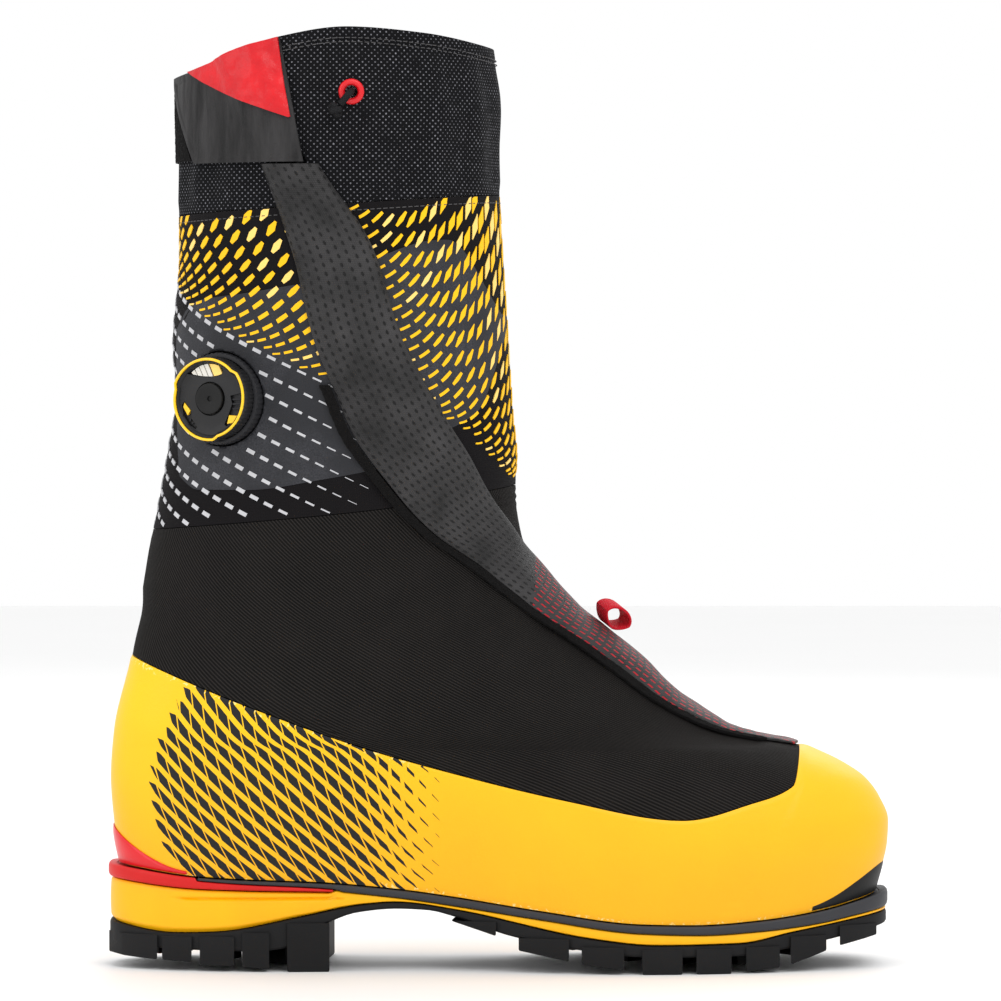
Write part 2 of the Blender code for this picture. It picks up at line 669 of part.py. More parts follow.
def make_outsole():
    """A curved plate with lugs along both edges and studs down the middle, all one rubber piece."""
    rings = [
        sole_ring(0.0020, outsole_base),
        sole_ring(0.0006, lambda x: outsole_base(x) + 0.0008),
        sole_ring(0.0010, lambda x: midsole_bottom(x) - 0.0004),
        sole_ring(0.0016, midsole_bottom),
    ]
    plate = slab("outsole", rings, BLACK_RUBBER)
    points, faces = [], []

    def block(plan, bottoms):
        top = min(float(midsole_bottom(x)) for x, _ in plan) - LUG_ROOT
        new_points, new_faces = prism(plan, bottoms, top)
        faces.extend(tuple(i + len(points) for i in face) for face in new_faces)
        points.extend(new_points)

    for side in (-1, 1):
        for rear, front, rear_z, front_z in LUGS:
            places = [rear * SX + (front - rear) * SX * share for share in LUG_CORNERS]
            heights = [(rear_z + (front_z - rear_z) * share) * SZ for share in LUG_CORNERS]
            edge = [(x, sole_edge(x, side) + side * LUG_REACH) for x in places]
            reach = min(LUG_LENGTH, abs(edge[0][1]) - LUG_SPINE, abs(edge[-1][1]) - LUG_SPINE)
            inner_front = (places[-1] - LUG_TAPER, edge[-1][1] - side * reach)
            inner_rear = (places[0] + LUG_TAPER, edge[0][1] - side * reach)
            block((*edge, inner_front, inner_rear), (*heights, heights[-1], heights[0]))
    for x, y, half_long, half_wide, bottom in STUDS:
        x = x * SX
        y = y * SY + float(middle(x))
        plan = ((x - half_long, y), (x, y - half_wide), (x + half_long, y), (x, y + half_wide))
        block(plan, (bottom * SZ,) * 4)
    lugs = tool("lug_blocks", points, faces)
    boolean(plate, lugs, "UNION", "MANIFOLD")
    return plate


# ---------------------------------------------------------------- upper
def base_height(phi, raise_by=GAP):
    return height_on(welt_top, phi, raise_by)


def make_heel_stay():
    """A low red lip that hugs the rand behind the heel and falls away to both sides."""
    turn = np.radians(np.linspace(145, 215, 17))
    low = base_height(turn, 0.0010)
    rise = 0.0136 * SZ * ease(1 - np.abs(turn - math.pi) / math.radians(36)) + 0.0012
    z = low + rise * np.linspace(0, 1, 4)[:, None]
    thick = np.linspace(0.0008, 0.0010, 4)[:, None] * np.ones(len(turn))
    return wall("heel_stay", under(z, turn, -GAP - thick), under(z, turn, np.full(z.shape, -GAP)), False, RED)


def make_toe_guard():
    """A low black lip round the toe, just above the ledge."""
    turn = np.radians(np.linspace(-34, 34, 17))
    low = base_height(turn, 0.0011)
    rise = 0.0106 * SZ * ease(1.25 - np.abs(turn) / math.radians(30)) + 0.0012
    z = low + rise * np.linspace(0, 1, 4)[:, None]
    thick = np.linspace(0.0004, 0.0006, 4)[:, None] * np.ones(len(turn))
    outer = under(z, turn, -GAP - thick)
    return wall("toe_guard", outer, under(z, turn, np.full(z.shape, -GAP)), False, BLACK_RUBBER)


def make_rand(turn):
    """The rubber foot of the gaiter; its columns are those of the fabric panel that it meets."""
    z = climb(base_height(turn, 2 * GAP), height_on(rand_top, turn, -GAP), 6)
    outer = under(z, turn, np.zeros(z.shape))
    return wall("rand", outer, under(z, turn, np.full(z.shape, RAND_WALL)), True, YELLOW)


def slit_ring(z):
    """Angles round a slice that stop on either side of the zip."""
    half = SLIT_WIDTH / 2 / slice_radius(z)
    centre = zip_angle(z)
    span = np.linspace(0, 1, COLUMNS + 1)
    return centre + half + span * (2 * math.pi - 2 * half)


def slice_radius(z):
    """Distance moved round the skin for each radian, at the zip."""
    tiny = 1e-3
    step = skin(z, zip_angle(z) + tiny) - skin(z, zip_angle(z) - tiny)
    return np.linalg.norm(step, axis=-1) / (2 * tiny)


def zip_angle(z):
    """Angle of the zip's middle: under the flap's middle, and straight near the top."""
    z = np.asarray(z, float)
    free = (flap_rear(z) + flap_front(z)) / 2
    low_z, high_z = ZIP_STRAIGHT * SZ, SLIDER_START * SZ
    low_x = skin(low_z, (flap_rear(low_z) + flap_front(low_z)) / 2)[..., 0]
    high_x = skin(high_z, (flap_rear(high_z) + flap_front(high_z)) / 2)[..., 0]
    straight = angle_at(z, low_x + (high_x - low_x) * (z - low_z) / (high_z - low_z))
    return np.where(z > low_z, straight, free)


def panel(name, low_line, high_line, rows, look):
    """A fabric panel of the gaiter, open along the zip, between two seam lines."""
    span = np.linspace(0, 1, COLUMNS + 1)
    z = np.full((rows + 1, COLUMNS + 1), 0.2 * SZ)
    phi = slit_ring(z)
    for _ in range(12):
        low = height_on(low_line, phi[0], GAP / 2)
        high = height_on(high_line, phi[-1], -GAP / 2)
        z = climb(low, high, rows)
        half = SLIT_WIDTH / 2 / slice_radius(z)
        phi = zip_angle(z) + half + span * (2 * math.pi - 2 * half)
    outer = under(z, phi, np.full(z.shape, FABRIC_DEPTH))
    inner = under(z, phi, np.full(z.shape, FABRIC_DEPTH + FABRIC_WALL))
    return wall(name, outer, inner, False, look), phi[0]


def flap_grid(z, columns):
    rear = flap_rear(z)[:, None]
    front = flap_front(z)[:, None]
    u = np.linspace(0, 1, columns)[None, :]
    return np.broadcast_to(z[:, None], (len(z), columns)), rear + (front - rear) * u, u


def flap_lift(z, u):
    """How far the flap's inner face stands off the skin at a height and a share of its width."""
    z = np.asarray(z, float) / SZ
    crown = LOW_CROWN + (FLAP_CROWN - LOW_CROWN) * ease((z - 0.245) / 0.035)
    return GAP + crown * ease((z - 0.086) / 0.020) * (1 - (2 * u - 1) ** 4)


def make_zip_flap():
    z = climb(0.0888 * SZ, FLAP_TOP * SZ, 22)
    grid_z, phi, u = flap_grid(z, 6)
    inner = under(grid_z, phi, -flap_lift(grid_z, u))
    outer = under(grid_z, phi, -flap_lift(grid_z, u) - FLAP_WALL)
    return wall("zip_flap", outer, inner, False, CHARCOAL)


def make_flap_strip():
    """The fuzzy band that the flap's lower edge sticks to."""
    z = climb(0.0905 * SZ, STRIP_TOP * SZ, 18)
    step = GAP / 0.05
    width = STRIP_WIDTH / 0.05 * np.linspace(1.0, 0.7, len(z))
    front = flap_rear(z) - step - 0.012
    phi = np.stack([front - width, front - width / 2, front], axis=1)
    grid_z = np.broadcast_to(z[:, None], phi.shape)
    return wall(
        "flap_strip",
        under(grid_z, phi, np.full(phi.shape, -2 * GAP - STRIP_WALL)),
        under(grid_z, phi, np.full(phi.shape, -2 * GAP)),
        False,
        BLACK_FABRIC,
    )


def hinge_points():
    low_z, low_x = TAB_HINGE_LOW[0] * SZ, TAB_HINGE_LOW[1] * SX
    high_z, high_x = TAB_HINGE_HIGH[0] * SZ, TAB_HINGE_HIGH[1] * SX
    low = under(low_z, angle_at(low_z, low_x), -0.0012)
    high = under(high_z, angle_at(high_z, high_x), -0.0012)
    return Vector(low), Vector(high)


def tab_front(z):
    """Angle of the tab's hinged edge at each height."""
    low_z, low_x = TAB_HINGE_LOW[0] * SZ, TAB_HINGE_LOW[1] * SX
    high_z, high_x = TAB_HINGE_HIGH[0] * SZ, TAB_HINGE_HIGH[1] * SX
    return angle_at(z, low_x + (high_x - low_x) * (z - low_z) / (high_z - low_z))


def tab_surface(rows, columns):
    """Heights and angles over the tab, rows going up, columns from its rear edge to its hinge."""
    u = np.linspace(0, 1, columns)[None, :]
    v = np.linspace(0, 1, rows)[:, None]
    low = FLAP_TOP * SZ + 0.0008
    z = low + (0.360 * SZ - low) * v * np.ones((1, columns))
    for _ in range(8):
        phi = tab_rear(z) + (tab_front(z) - tab_rear(z)) * u
        high = height_on(collar_top, phi[-1], -0.0008)
        z = low + (high - low) * v
    return z, phi


def make_flap_tab():
    z, phi = tab_surface(6, 14)
    bulge = FLAP_CROWN * np.exp(-(((phi - zip_angle(z)) / math.radians(11)) ** 4))
    inner = under(z, phi, -0.0007 - bulge)
    outer = under(z, phi, -0.0007 - bulge - FLAP_WALL)
    return wall("flap_tab", outer, inner, False, CHARCOAL, origin=hinge_points()[0])


def make_pull_patch():
    """The red corner sewn on the tab: a triangle that points down along the hinge."""
    z, phi = tab_surface(6, 14)
    top_z, top_phi = z[-1], phi[-1]
    first = 4
    tip_z = 0.3400 * SZ
    tip_phi = float(tab_front(tip_z)) - 0.03
    t = np.linspace(0, 0.96, 7)[:, None]
    start_z = top_z[first:][None, :]
    start_phi = top_phi[first:][None, :] - 0.004
    grid_z = start_z + (tip_z - start_z) * t
    grid_phi = start_phi + (tip_phi - start_phi) * t
    bulge = FLAP_CROWN * np.exp(-(((grid_phi - zip_angle(grid_z)) / math.radians(11)) ** 4))
    base = -0.0007 - bulge - FLAP_WALL - 2 * GAP
    outer = under(grid_z, grid_phi, base - 0.0008)
    inner = under(grid_z, grid_phi, base)
    return wall("pull_patch", outer[::-1], inner[::-1], False, RED, origin=hinge_points()[0])


def make_rear_patch():
    """The fuzzy patch on the rear of the cuff, half under the tab's rear edge."""
    u = np.linspace(0, 1, 8)[None, :]
    v = np.linspace(0, 1, 5)[:, None]
    z = (0.3235 + (0.3540 - 0.3235) * v) * SZ * np.ones((1, 8))
    front = tab_rear(z) - 0.045
    phi = math.radians(-205) + (front - math.radians(-205)) * u
    outer = under(z, phi, np.full(z.shape, -GAP - 0.0007))
    inner = under(z, phi, np.full(z.shape, -GAP))
    return wall("rear_patch", outer, inner, False, BLACK_FABRIC)


# ---------------------------------------------------------------- zip
def zip_strip(name, half_width, outer_depth, inner_depth, columns, look):
    z = climb(ZIP_BOTTOM * SZ, ZIP_TOP * SZ, 20)
    spread = np.linspace(-1, 1, columns)[None, :] * (half_width / slice_radius(z))[:, None]
    phi = zip_angle(z)[:, None] + spread
    grid_z = np.broadcast_to(z[:, None], phi.shape)
    outer = under(grid_z, phi, np.full(phi.shape, outer_depth))
    inner = under(grid_z, phi, np.full(phi.shape, inner_depth))
    return wall(name, outer, inner, False, look)


def make_zip():
    tape_top = FABRIC_DEPTH + FABRIC_WALL + TAPE_SLACK
    chain_bottom = tape_top - GAP
    zip_strip("zip_tape", TAPE_WIDTH / 2, tape_top, tape_top + TAPE_WALL, 5, BLACK_FABRIC)
    zip_strip("zip_chain", CHAIN_WIDTH / 2, chain_bottom - CHAIN_WALL, chain_bottom, 3, BLACK_RUBBER)


def zip_frame():
    """Place and directions of the slider: across the zip, out of the boot, and up along the zip."""
    low_z, high_z = ZIP_STRAIGHT * SZ, SLIDER_START * SZ
    low = Vector(skin(low_z, zip_angle(low_z)))
    high = Vector(skin(high_z, zip_angle(high_z)))
    up = (high - low).normalized()
    out = Vector(outward(high_z, zip_angle(high_z)))
    out = (out - up * out.dot(up)).normalized()
    return high, up.cross(out).normalized(), out, up


def box(name, centre, axes, low, high, look, origin):
    """A block between two corners measured along three given directions from a centre."""
    points = []
    for k in range(8):
        pick = [(low, high)[k >> i & 1][i] for i in range(3)]
        points.append(centre + axes[0] * pick[0] + axes[1] * pick[1] + axes[2] * pick[2])
    faces = [(0, 2, 3, 1), (4, 5, 7, 6), (0, 1, 5, 4), (2, 6, 7, 3), (0, 4, 6, 2), (1, 3, 7, 5)]
    return add(name, points, faces, look, origin)


def make_zip_slider():
    """A channel that straddles the chain, with a flat pull hinged on top of it."""
    centre, side, out, up = zip_frame()
    tape_face = -(FABRIC_DEPTH + FABRIC_WALL + TAPE_SLACK)
    floor = tape_face + 0.0015
    chain_top = tape_face + GAP + CHAIN_WALL
    half, long = SLIDER_WIDTH / 2, SLIDER_LONG / 2
    inner = CHAIN_WIDTH / 2 + 0.0006
    roof = chain_top + 0.0014
    top = roof + 0.0010
    outline = ((-half, floor), (-inner, floor), (-inner, roof), (inner, roof), (inner, floor), (half, floor))
    outline = outline + ((half, top - 0.0004), (half - 0.0010, top))
    outline = outline + ((-half + 0.0010, top), (-half, top - 0.0004))
    points = []
    for along in (-long, long):
        points.extend(centre + side * a + out * b + up * along for a, b in outline)
    count = len(outline)
    faces = [tuple(range(count)), tuple(range(count, 2 * count))]
    for i in range(count):
        j = (i + 1) % count
        faces.append((i, j, count + j, count + i))
    add("zip_slider", points, faces, STEEL, origin=centre)
    pivot = centre + out * (top + 0.0008) + up * (long - 0.0020)
    low = (-PULL_SIZE.x / 2, -0.0005, -PULL_SIZE.z + 0.0010)
    high = (PULL_SIZE.x / 2, 0.0005, 0.0010)
    box("zip_pull", pivot, (side, out, up), low, high, STEEL, pivot)


# ---------------------------------------------------------------- eyelet and drawcord
def eyelet_frame():
    z, x = EYELET_PLACE[0] * SZ, EYELET_PLACE[1] * SX
    phi = angle_at(z, x)
    return Vector(skin(z, phi)), Vector(outward(z, phi)), float(phi)


def make_eyelet():
    centre, out, _ = eyelet_frame()
    inner = -(FABRIC_DEPTH + FABRIC_WALL) - 0.0008
    profile = (
        (EYELET_HOLE, inner),
        (EYELET_BARREL, inner),
        (EYELET_BARREL, 0.0001),
        (EYELET_RADIUS, 0.0001),
        (EYELET_RADIUS, 0.0008),
        (EYELET_RADIUS - 0.0012, 0.0017),
        (EYELET_HOLE + 0.0008, 0.0017),
        (EYELET_HOLE, 0.0009),
    )
    return turned("eyelet", profile, centre, out, RED, sides=20)


def cuff_hole():
    centre, out, _ = eyelet_frame()
    radius = EYELET_BARREL + GAP
    profile = ((0, -0.006), (radius, -0.006), (radius, 0.004), (0, 0.004))
    cutter = turned("eyelet_hole", profile, centre, out, GREY, sides=28)
    cutter.hide_render = True
    cutter.display_type = "WIRE"
    return cutter


def drawcord_route():
    """From the hem, out through the eyelet and down to the knot; chosen by hand."""
    centre, out, _ = eyelet_frame()
    down = Vector((0, 0, -1))
    back = Vector((-1, 0, 0))
    inside = [(-0.0098, 0.0220, -0.0012), (-0.0084, 0.0160, -0.0014), (-0.0070, 0.0100, -0.0012)]
    inside.append((-0.0054, 0.0040, -0.0006))
    route = [centre + out * o - back * b + down * d for o, b, d in inside]
    outside = [(-0.0026, 0.0004, -0.0001), (0.0006, 0.0, 0.0), (0.0036, -0.0016, 0.0016)]
    outside.append((0.0040, -0.0046, 0.0052))
    route += [centre + out * o - back * b + down * d for o, b, d in outside]
    return route


def make_drawcord():
    route = drawcord_route()
    places = through(route, 22)
    tube("drawcord", places, DRAWCORD_DIAMETER, BLACK_FABRIC)
    end = Vector(places[-1])
    run = (end - Vector(places[-2])).normalized()
    centre = end + run * (KNOT_RADIUS + GAP)
    steps = 8
    profile = [
        (KNOT_RADIUS * math.sin(math.pi * i / steps), -KNOT_RADIUS * math.cos(math.pi * i / steps))
        for i in range(steps + 1)
    ]
    profile[0] = (0.0, -KNOT_RADIUS)
    profile[-1] = (0.0, KNOT_RADIUS)
    turned("drawcord_knot", profile, centre, run, BLACK_FABRIC, sides=14)


# ---------------------------------------------------------------- inner boot
def make_shell():
    z = inner_heights(base_height(RING), SHELL_TOP * SZ)
    depth = shell_depth(z, RING)
    shell = wall("shell_upper", under(z, RING, depth), under(z, RING, depth + SHELL_WALL), True, CHARCOAL)
    half = 0.016
    plan = ((-0.040 * SX, -half), (0.120 * SX, -half), (0.120 * SX, half), (-0.040 * SX, half))
    points, faces = prism(plan, (SLOT_BOTTOM * SZ,) * 4, (SHELL_TOP + 0.02) * SZ)
    slot = tool("shell_slot", points, faces)
    boolean(shell, slot, "DIFFERENCE")
    return shell


def make_tongue():
    turn = np.concatenate([RING[-4:] - 2 * math.pi, RING[:5]])
    z = inner_heights(np.full(9, 0.110 * SZ), TONGUE_TOP * SZ)
    depth = shell_depth(z, turn) + SHELL_WALL + GAP
    return wall("shell_tongue", under(z, turn, depth), under(z, turn, depth + TONGUE_WALL), False, CHARCOAL)


def liner_depth(z, phi):
    return shell_depth(z, phi) + SHELL_WALL + TONGUE_WALL + 2 * GAP


def make_liner():
    low = base_height(RING, GAP + BOARD_THICK + GAP)
    z = inner_heights(low, LINER_TOP * SZ)
    outer = under(z, RING, liner_depth(z, RING))
    z = inner_heights(low + LINER_FLOOR, LINER_TOP * SZ)
    inner = under(z, RING, liner_depth(z, RING) + LINER_WALL)
    return cup("liner", outer, inner, PALE)


def inner_ring(depth, raise_by):
    z = base_height(RING, raise_by)
    return under(z, RING, liner_depth(z, RING) + depth)


def make_board():
    margin = GAP * 2 - TONGUE_WALL
    rings = [inner_ring(margin, GAP), inner_ring(margin, GAP + BOARD_THICK)]
    return slab("insole_board", rings, CHARCOAL)


def make_footbed():
    floor = 2 * GAP + BOARD_THICK + LINER_FLOOR + GAP
    rings = [
        inner_ring(LINER_WALL + 0.0012, floor),
        inner_ring(LINER_WALL + 0.0006, floor + 0.0008),
        inner_ring(LINER_WALL + 0.0006, floor + FOOTBED_THICK - 0.0008),
        inner_ring(LINER_WALL + 0.0012, floor + FOOTBED_THICK),
    ]
    return slab("footbed", rings, YELLOW)


def make_liner_loop():
    """A webbing loop at the back of the liner's rim, standing inside it."""
    z = (LINER_TOP - 0.010) * SZ
    centre = Vector(under(z, math.pi, liner_depth(z, math.pi) + LINER_WALL + 3 * GAP + 0.0045))
    profile = []
    for k in range(16):
        turn = 2 * math.pi * k / 16
        profile.append((0.0045 * math.cos(turn), 0.0130 * math.sin(turn)))
    half = 0.0065
    points, faces = [], []
    count = len(profile)
    for y in (-half, half):
        for narrower, shorter in ((1.0, 1.0), (0.72, 0.90)):
            points.extend(centre + Vector((a * narrower, y, b * shorter)) for a, b in profile)
    for i in range(count):
        j = (i + 1) % count
        faces.append((i, j, 2 * count + j, 2 * count + i))
        faces.append((count + j, count + i, 3 * count + i, 3 * count + j))
        faces.append((j, i, count + i, count + j))
        faces.append((2 * count + i, 2 * count + j, 3 * count + j, 3 * count + i))
    return add("liner_loop", points, faces, RED)


# ---------------------------------------------------------------- lace dial
def dial_frame():
    """Centre of the dial's foot, and its axis out of the boot."""
    axis = Vector((-math.sin(DIAL_LEAN), -math.cos(DIAL_LEAN), 0))
    z = DIAL_FACE.z * SZ
    x = DIAL_FACE.x * SX - axis.x * 0.011
    phi = angle_at(z, x)
    on_shell = Vector(under(z, phi, shell_depth(z, phi) - 0.0022))
    return on_shell, axis


def dial_levels():
    """Distances along the dial's axis, from its foot outwards."""
    floor = 0.0026
    spool = floor + GAP
    rim = spool + SPOOL_THICK + GAP
    knob = rim + GAP
    return floor, spool, rim, knob


def make_dial():
    centre, axis = dial_frame()
    floor, spool, rim, knob = dial_levels()
    bore = POST_RADIUS + GAP
    base = (
        (bore, 0.0), (DIAL_RADIUS - 0.0010, 0.0), (DIAL_RADIUS, 0.0010), (DIAL_RADIUS, rim - 0.0010),
        (DIAL_RADIUS - 0.0010, rim), (DIAL_RADIUS - DIAL_WALL, rim), (DIAL_RADIUS - DIAL_WALL, floor),
        (bore, floor),
    )
    turned("dial_base", base, centre, axis, BLACK_RUBBER)
    post_top = knob + KNOB_HEIGHT - 0.0024
    post = ((0, 0.0), (POST_RADIUS, 0.0), (POST_RADIUS, post_top), (0, post_top))
    turned("dial_post", post, centre, axis, STEEL, sides=20)
    groove = SPOOL_RADIUS - 0.0018
    spool_profile = (
        (bore, spool), (SPOOL_RADIUS, spool), (SPOOL_RADIUS, spool + 0.0008), (groove, spool + 0.0012),
        (groove, spool + SPOOL_THICK - 0.0012), (SPOOL_RADIUS, spool + SPOOL_THICK - 0.0008),
        (SPOOL_RADIUS, spool + SPOOL_THICK), (bore, spool + SPOOL_THICK),
    )
    turned("dial_spool", spool_profile, centre, axis, CHARCOAL, sides=32)
    top = knob + KNOB_HEIGHT
    hub = 0.0062
    knob_profile = (
        (bore, knob), (KNOB_RADIUS, knob), (KNOB_RADIUS, top - 0.0022), (KNOB_RADIUS - 0.0010, top - 0.0008),
        (KNOB_RADIUS - 0.0018, top - 0.0008), (KNOB_RADIUS - 0.0030, top - 0.0024), (hub + GAP, top - 0.0024),
        (hub + GAP, top - 0.0036), (bore, top - 0.0036),
    )
    knob_obj = turned("dial_knob", knob_profile, centre, axis, BLACK_RUBBER, sides=32)
    cut_windows(knob_obj, centre, axis, top)
    ring = (
        (KNOB_RADIUS - 0.0018, top - 0.0008 + GAP), (KNOB_RADIUS - 0.0006, top - 0.0008 + GAP),
        (KNOB_RADIUS - 0.0006, top), (KNOB_RADIUS - 0.0012, top + 0.0004), (KNOB_RADIUS - 0.0018, top),
    )
    turned("dial_ring", ring, centre, axis, YELLOW, sides=32)
    cap_low = top - 0.0024 - 0.0012 + GAP
    cap = (
        (0, post_top + 0.0012), (bore + 0.0008, post_top + 0.0012), (bore + 0.0008, cap_low), (hub, cap_low),
        (hub, top - 0.0008), (hub - 0.0012, top - 0.0004), (0, top - 0.0012),
    )
    turned("dial_cap", cap, centre, axis, CHARCOAL, sides=32)


def cut_windows(knob_obj, centre, axis, top):
    """Three curved windows in the knob's face, a third of a turn apart."""
    side = axis.cross(Vector((0, 0, 1))).normalized()
    up = side.cross(axis)
    points, faces = [], []
    inner, outer = 0.0088, 0.0132
    for k in range(3):
        first = len(points)
        steps = 6
        middle_turn = math.radians(90 + 120 * k)
        for along in (top - 0.0042, top + 0.001):
            for i in range(steps + 1):
                turn = middle_turn + math.radians(-32 + 64 * i / steps)
                for radius in (inner, outer):
                    spot = side * math.cos(turn) + up * math.sin(turn)
                    points.append(centre + axis * along + spot * radius)
        layer = 2 * (steps + 1)
        for i in range(steps):
            a = first + 2 * i
            for base_i, flip in ((a, False), (a + layer, True)):
                quad = (base_i, base_i + 1, base_i + 3, base_i + 2)
                faces.append(tuple(reversed(quad)) if flip else quad)
            faces.append((a, a + 2, a + 2 + layer, a + layer))
            faces.append((a + 1, a + 1 + layer, a + 3 + layer, a + 3))
        last = first + 2 * steps
        faces.append((first, first + layer, first + layer + 1, first + 1))
        faces.append((last, last + 1, last + layer + 1, last + layer))
    boolean(knob_obj, tool("knob_windows", points, faces), "DIFFERENCE")


def gaiter_hole():
    centre, axis = dial_frame()
    radius = DIAL_RADIUS + 0.0006
    profile = ((0, -0.012), (radius, -0.012), (radius, 0.020), (0, 0.020))
    cutter = turned("dial_hole", profile, centre, axis, GREY)
    cutter.hide_render = True
    cutter.display_type = "WIRE"
    return cutter


# the lace's turns round the ankle: (height, angle in degrees) where it leaves the dial, then each guide
LACE_GUIDES = ((0.226, -38.0), (0.221, 40.0), (0.211, -36.0), (0.201, 40.0))


def make_lace():
    """One cable: from the dial forward, across the instep and back between the guides, and to the dial."""
    bend = math.radians(7)
    path = [(0.2340, math.radians(-112)), (0.2360, math.radians(-90)), (0.2360, math.radians(-60))]
    path.append((0.2340, math.radians(-20)))
    path.append((0.2300, math.radians(20)))
    medial = [g for g in LACE_GUIDES if g[1] > 0]
    lateral = [g for g in LACE_GUIDES if g[1] < 0]
    turn_height = 0.0038
    for k, (height, degrees) in enumerate(medial):
        side = math.radians(degrees)
        path.append((height + turn_height, side))
        path.append((height, side + bend))
        path.append((height - turn_height, side))
        if k < len(lateral) - 1:
            other_height, other = lateral[k + 1]
            other = math.radians(other)
            path.append(((height + other_height) / 2, 0.0))
            path.append((other_height + turn_height, other))
            path.append((other_height, other - bend))
            path.append((other_height - turn_height, other))
    path.append((0.1945, 0.0))
    path.append((0.1950, math.radians(-36)))
    path.append((0.2010, math.radians(-72)))
    path.append((0.2160, math.radians(-100)))
    path.append((0.2220, math.radians(-112)))
    flat = through([(z * SZ, a, 0.0) for z, a in path], 56)
    places = under(flat[:, 0], flat[:, 1], np.full(len(flat), CABLE_DEPTH))
    tube("lace_cable", places, CABLE_DIAMETER, STEEL)


def make_guides():
    for number, (height, degrees) in enumerate(LACE_GUIDES[1:], 1):
        turn = math.radians(degrees)
        z = height * SZ
        centre = Vector(under(z, turn, CABLE_DEPTH))
        out = Vector(outward(z, turn))
        half = CABLE_DIAMETER / 2
        profile = ((0, -half), (GUIDE_RADIUS, -half), (GUIDE_RADIUS, half), (0, half))
        turned(f"lace_guide_{number}", profile, centre, out, CHARCOAL, sides=16)


# ---------------------------------------------------------------- instep loop
def make_instep_loop():
    """A red webbing loop on the instep, hinged where it is sewn down."""
    z = INSTEP_LOOP_HEIGHT * SZ
    u = (0 - float(flap_rear(z))) / (float(flap_front(z)) - float(flap_rear(z)))
    lift = float(flap_lift(z, u)) + FLAP_WALL
    pivot = Vector(under(z, 0.0, -lift))
    out = Vector(outward(z, 0.0))
    along = out.cross(Vector((0, 1, 0))).normalized()
    centre_out = LOOP_HIGH + LOOP_CLEARANCE
    turns = [2 * math.pi * k / 18 for k in range(18)]
    shape = [(LOOP_LONG * math.cos(t), centre_out + LOOP_HIGH * math.sin(t)) for t in turns]
    long, high = LOOP_LONG - LOOP_WALL, LOOP_HIGH - LOOP_WALL
    inner = [(long * math.cos(t), centre_out + high * math.sin(t)) for t in turns]
    count = len(shape)
    points, faces = [], []
    for y in (-LOOP_WIDTH / 2, LOOP_WIDTH / 2):
        for outline in (shape, inner):
            points.extend(pivot + along * a + out * b + Vector((0, y, 0)) for a, b in outline)
    for i in range(count):
        j = (i + 1) % count
        faces.append((i, j, 2 * count + j, 2 * count + i))
        faces.append((count + j, count + i, 3 * count + i, 3 * count + j))
        faces.append((j, i, count + i, count + j))
        faces.append((2 * count + i, 2 * count + j, 3 * count + j, 3 * count + i))
    return add("instep_loop", points, faces, RED, origin=pivot)


# ---------------------------------------------------------------- the boot
def build():
    for obj in list(bpy.data.objects):
        bpy.data.objects.remove(obj)
    make_outsole()
    make_midsole()
    make_welt()
    make_heel_ledge()
    make_heel_stay()
    make_toe_guard()
    _, seam_angles = panel("lower_gaiter", rand_top, print_bottom, 10, BLACK_FABRIC)
    make_rand(seam_angles)
    gaiter, _ = panel("print_gaiter", print_bottom, cuff_bottom, 6, BLACK_FABRIC)
    boolean(gaiter, gaiter_hole(), "DIFFERENCE")
    cuff, _ = panel("cuff", cuff_bottom, collar_top, 4, BLACK_FABRIC)
    boolean(cuff, cuff_hole(), "DIFFERENCE")
    make_zip()
    make_zip_slider()
    make_zip_flap()
    make_flap_strip()
    make_flap_tab()
    make_pull_patch()
    make_rear_patch()
    make_eyelet()
    make_drawcord()
    make_instep_loop()
    make_shell()
    make_tongue()
    make_liner()
    make_board()
    make_footbed()
    make_liner_loop()
    make_dial()
    make_lace()
    make_guides()


build()
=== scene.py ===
# %% [markdown]
# # A high-altitude double mountaineering boot
# The right boot of a pair, closed and standing on its sole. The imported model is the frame: every piece
# made here lies on it, rides on one of its bodies, and takes its place from it. All lengths are metres.

import math

import bmesh
import bpy
import numpy as np
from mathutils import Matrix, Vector, noise


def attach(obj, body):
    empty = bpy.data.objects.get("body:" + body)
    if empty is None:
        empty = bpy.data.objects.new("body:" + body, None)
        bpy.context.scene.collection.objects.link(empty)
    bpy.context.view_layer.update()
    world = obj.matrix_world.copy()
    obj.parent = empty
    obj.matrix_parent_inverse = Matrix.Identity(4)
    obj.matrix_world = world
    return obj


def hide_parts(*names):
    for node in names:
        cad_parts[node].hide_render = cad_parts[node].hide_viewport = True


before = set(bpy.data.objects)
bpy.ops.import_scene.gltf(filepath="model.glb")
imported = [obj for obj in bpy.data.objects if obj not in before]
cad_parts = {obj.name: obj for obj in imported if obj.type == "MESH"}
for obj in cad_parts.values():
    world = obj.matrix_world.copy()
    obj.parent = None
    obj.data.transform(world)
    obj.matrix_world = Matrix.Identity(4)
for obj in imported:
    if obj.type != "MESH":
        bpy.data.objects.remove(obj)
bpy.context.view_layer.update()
scene = bpy.context.scene

# %% [markdown]
# ## Camera
# A boot for sale is shown square from its outer side, from far away through a long lens, so that the heel
# and the toe keep their true proportions. The camera stands a little above the ankle.

# %% Camera
CAMERA_PLACE = Vector((0.0008, -2.5, 0.235))
CAMERA_AIM = Vector((0.0008, 0.0, 0.1873))
camera_data = bpy.data.cameras.new("camera")
camera_data.lens = 222.5
camera = bpy.data.objects.new("camera", camera_data)
scene.collection.objects.link(camera)
camera.location = CAMERA_PLACE
camera.rotation_euler = (CAMERA_AIM - CAMERA_PLACE).to_track_quat("-Z", "Y").to_euler()
scene.camera = camera

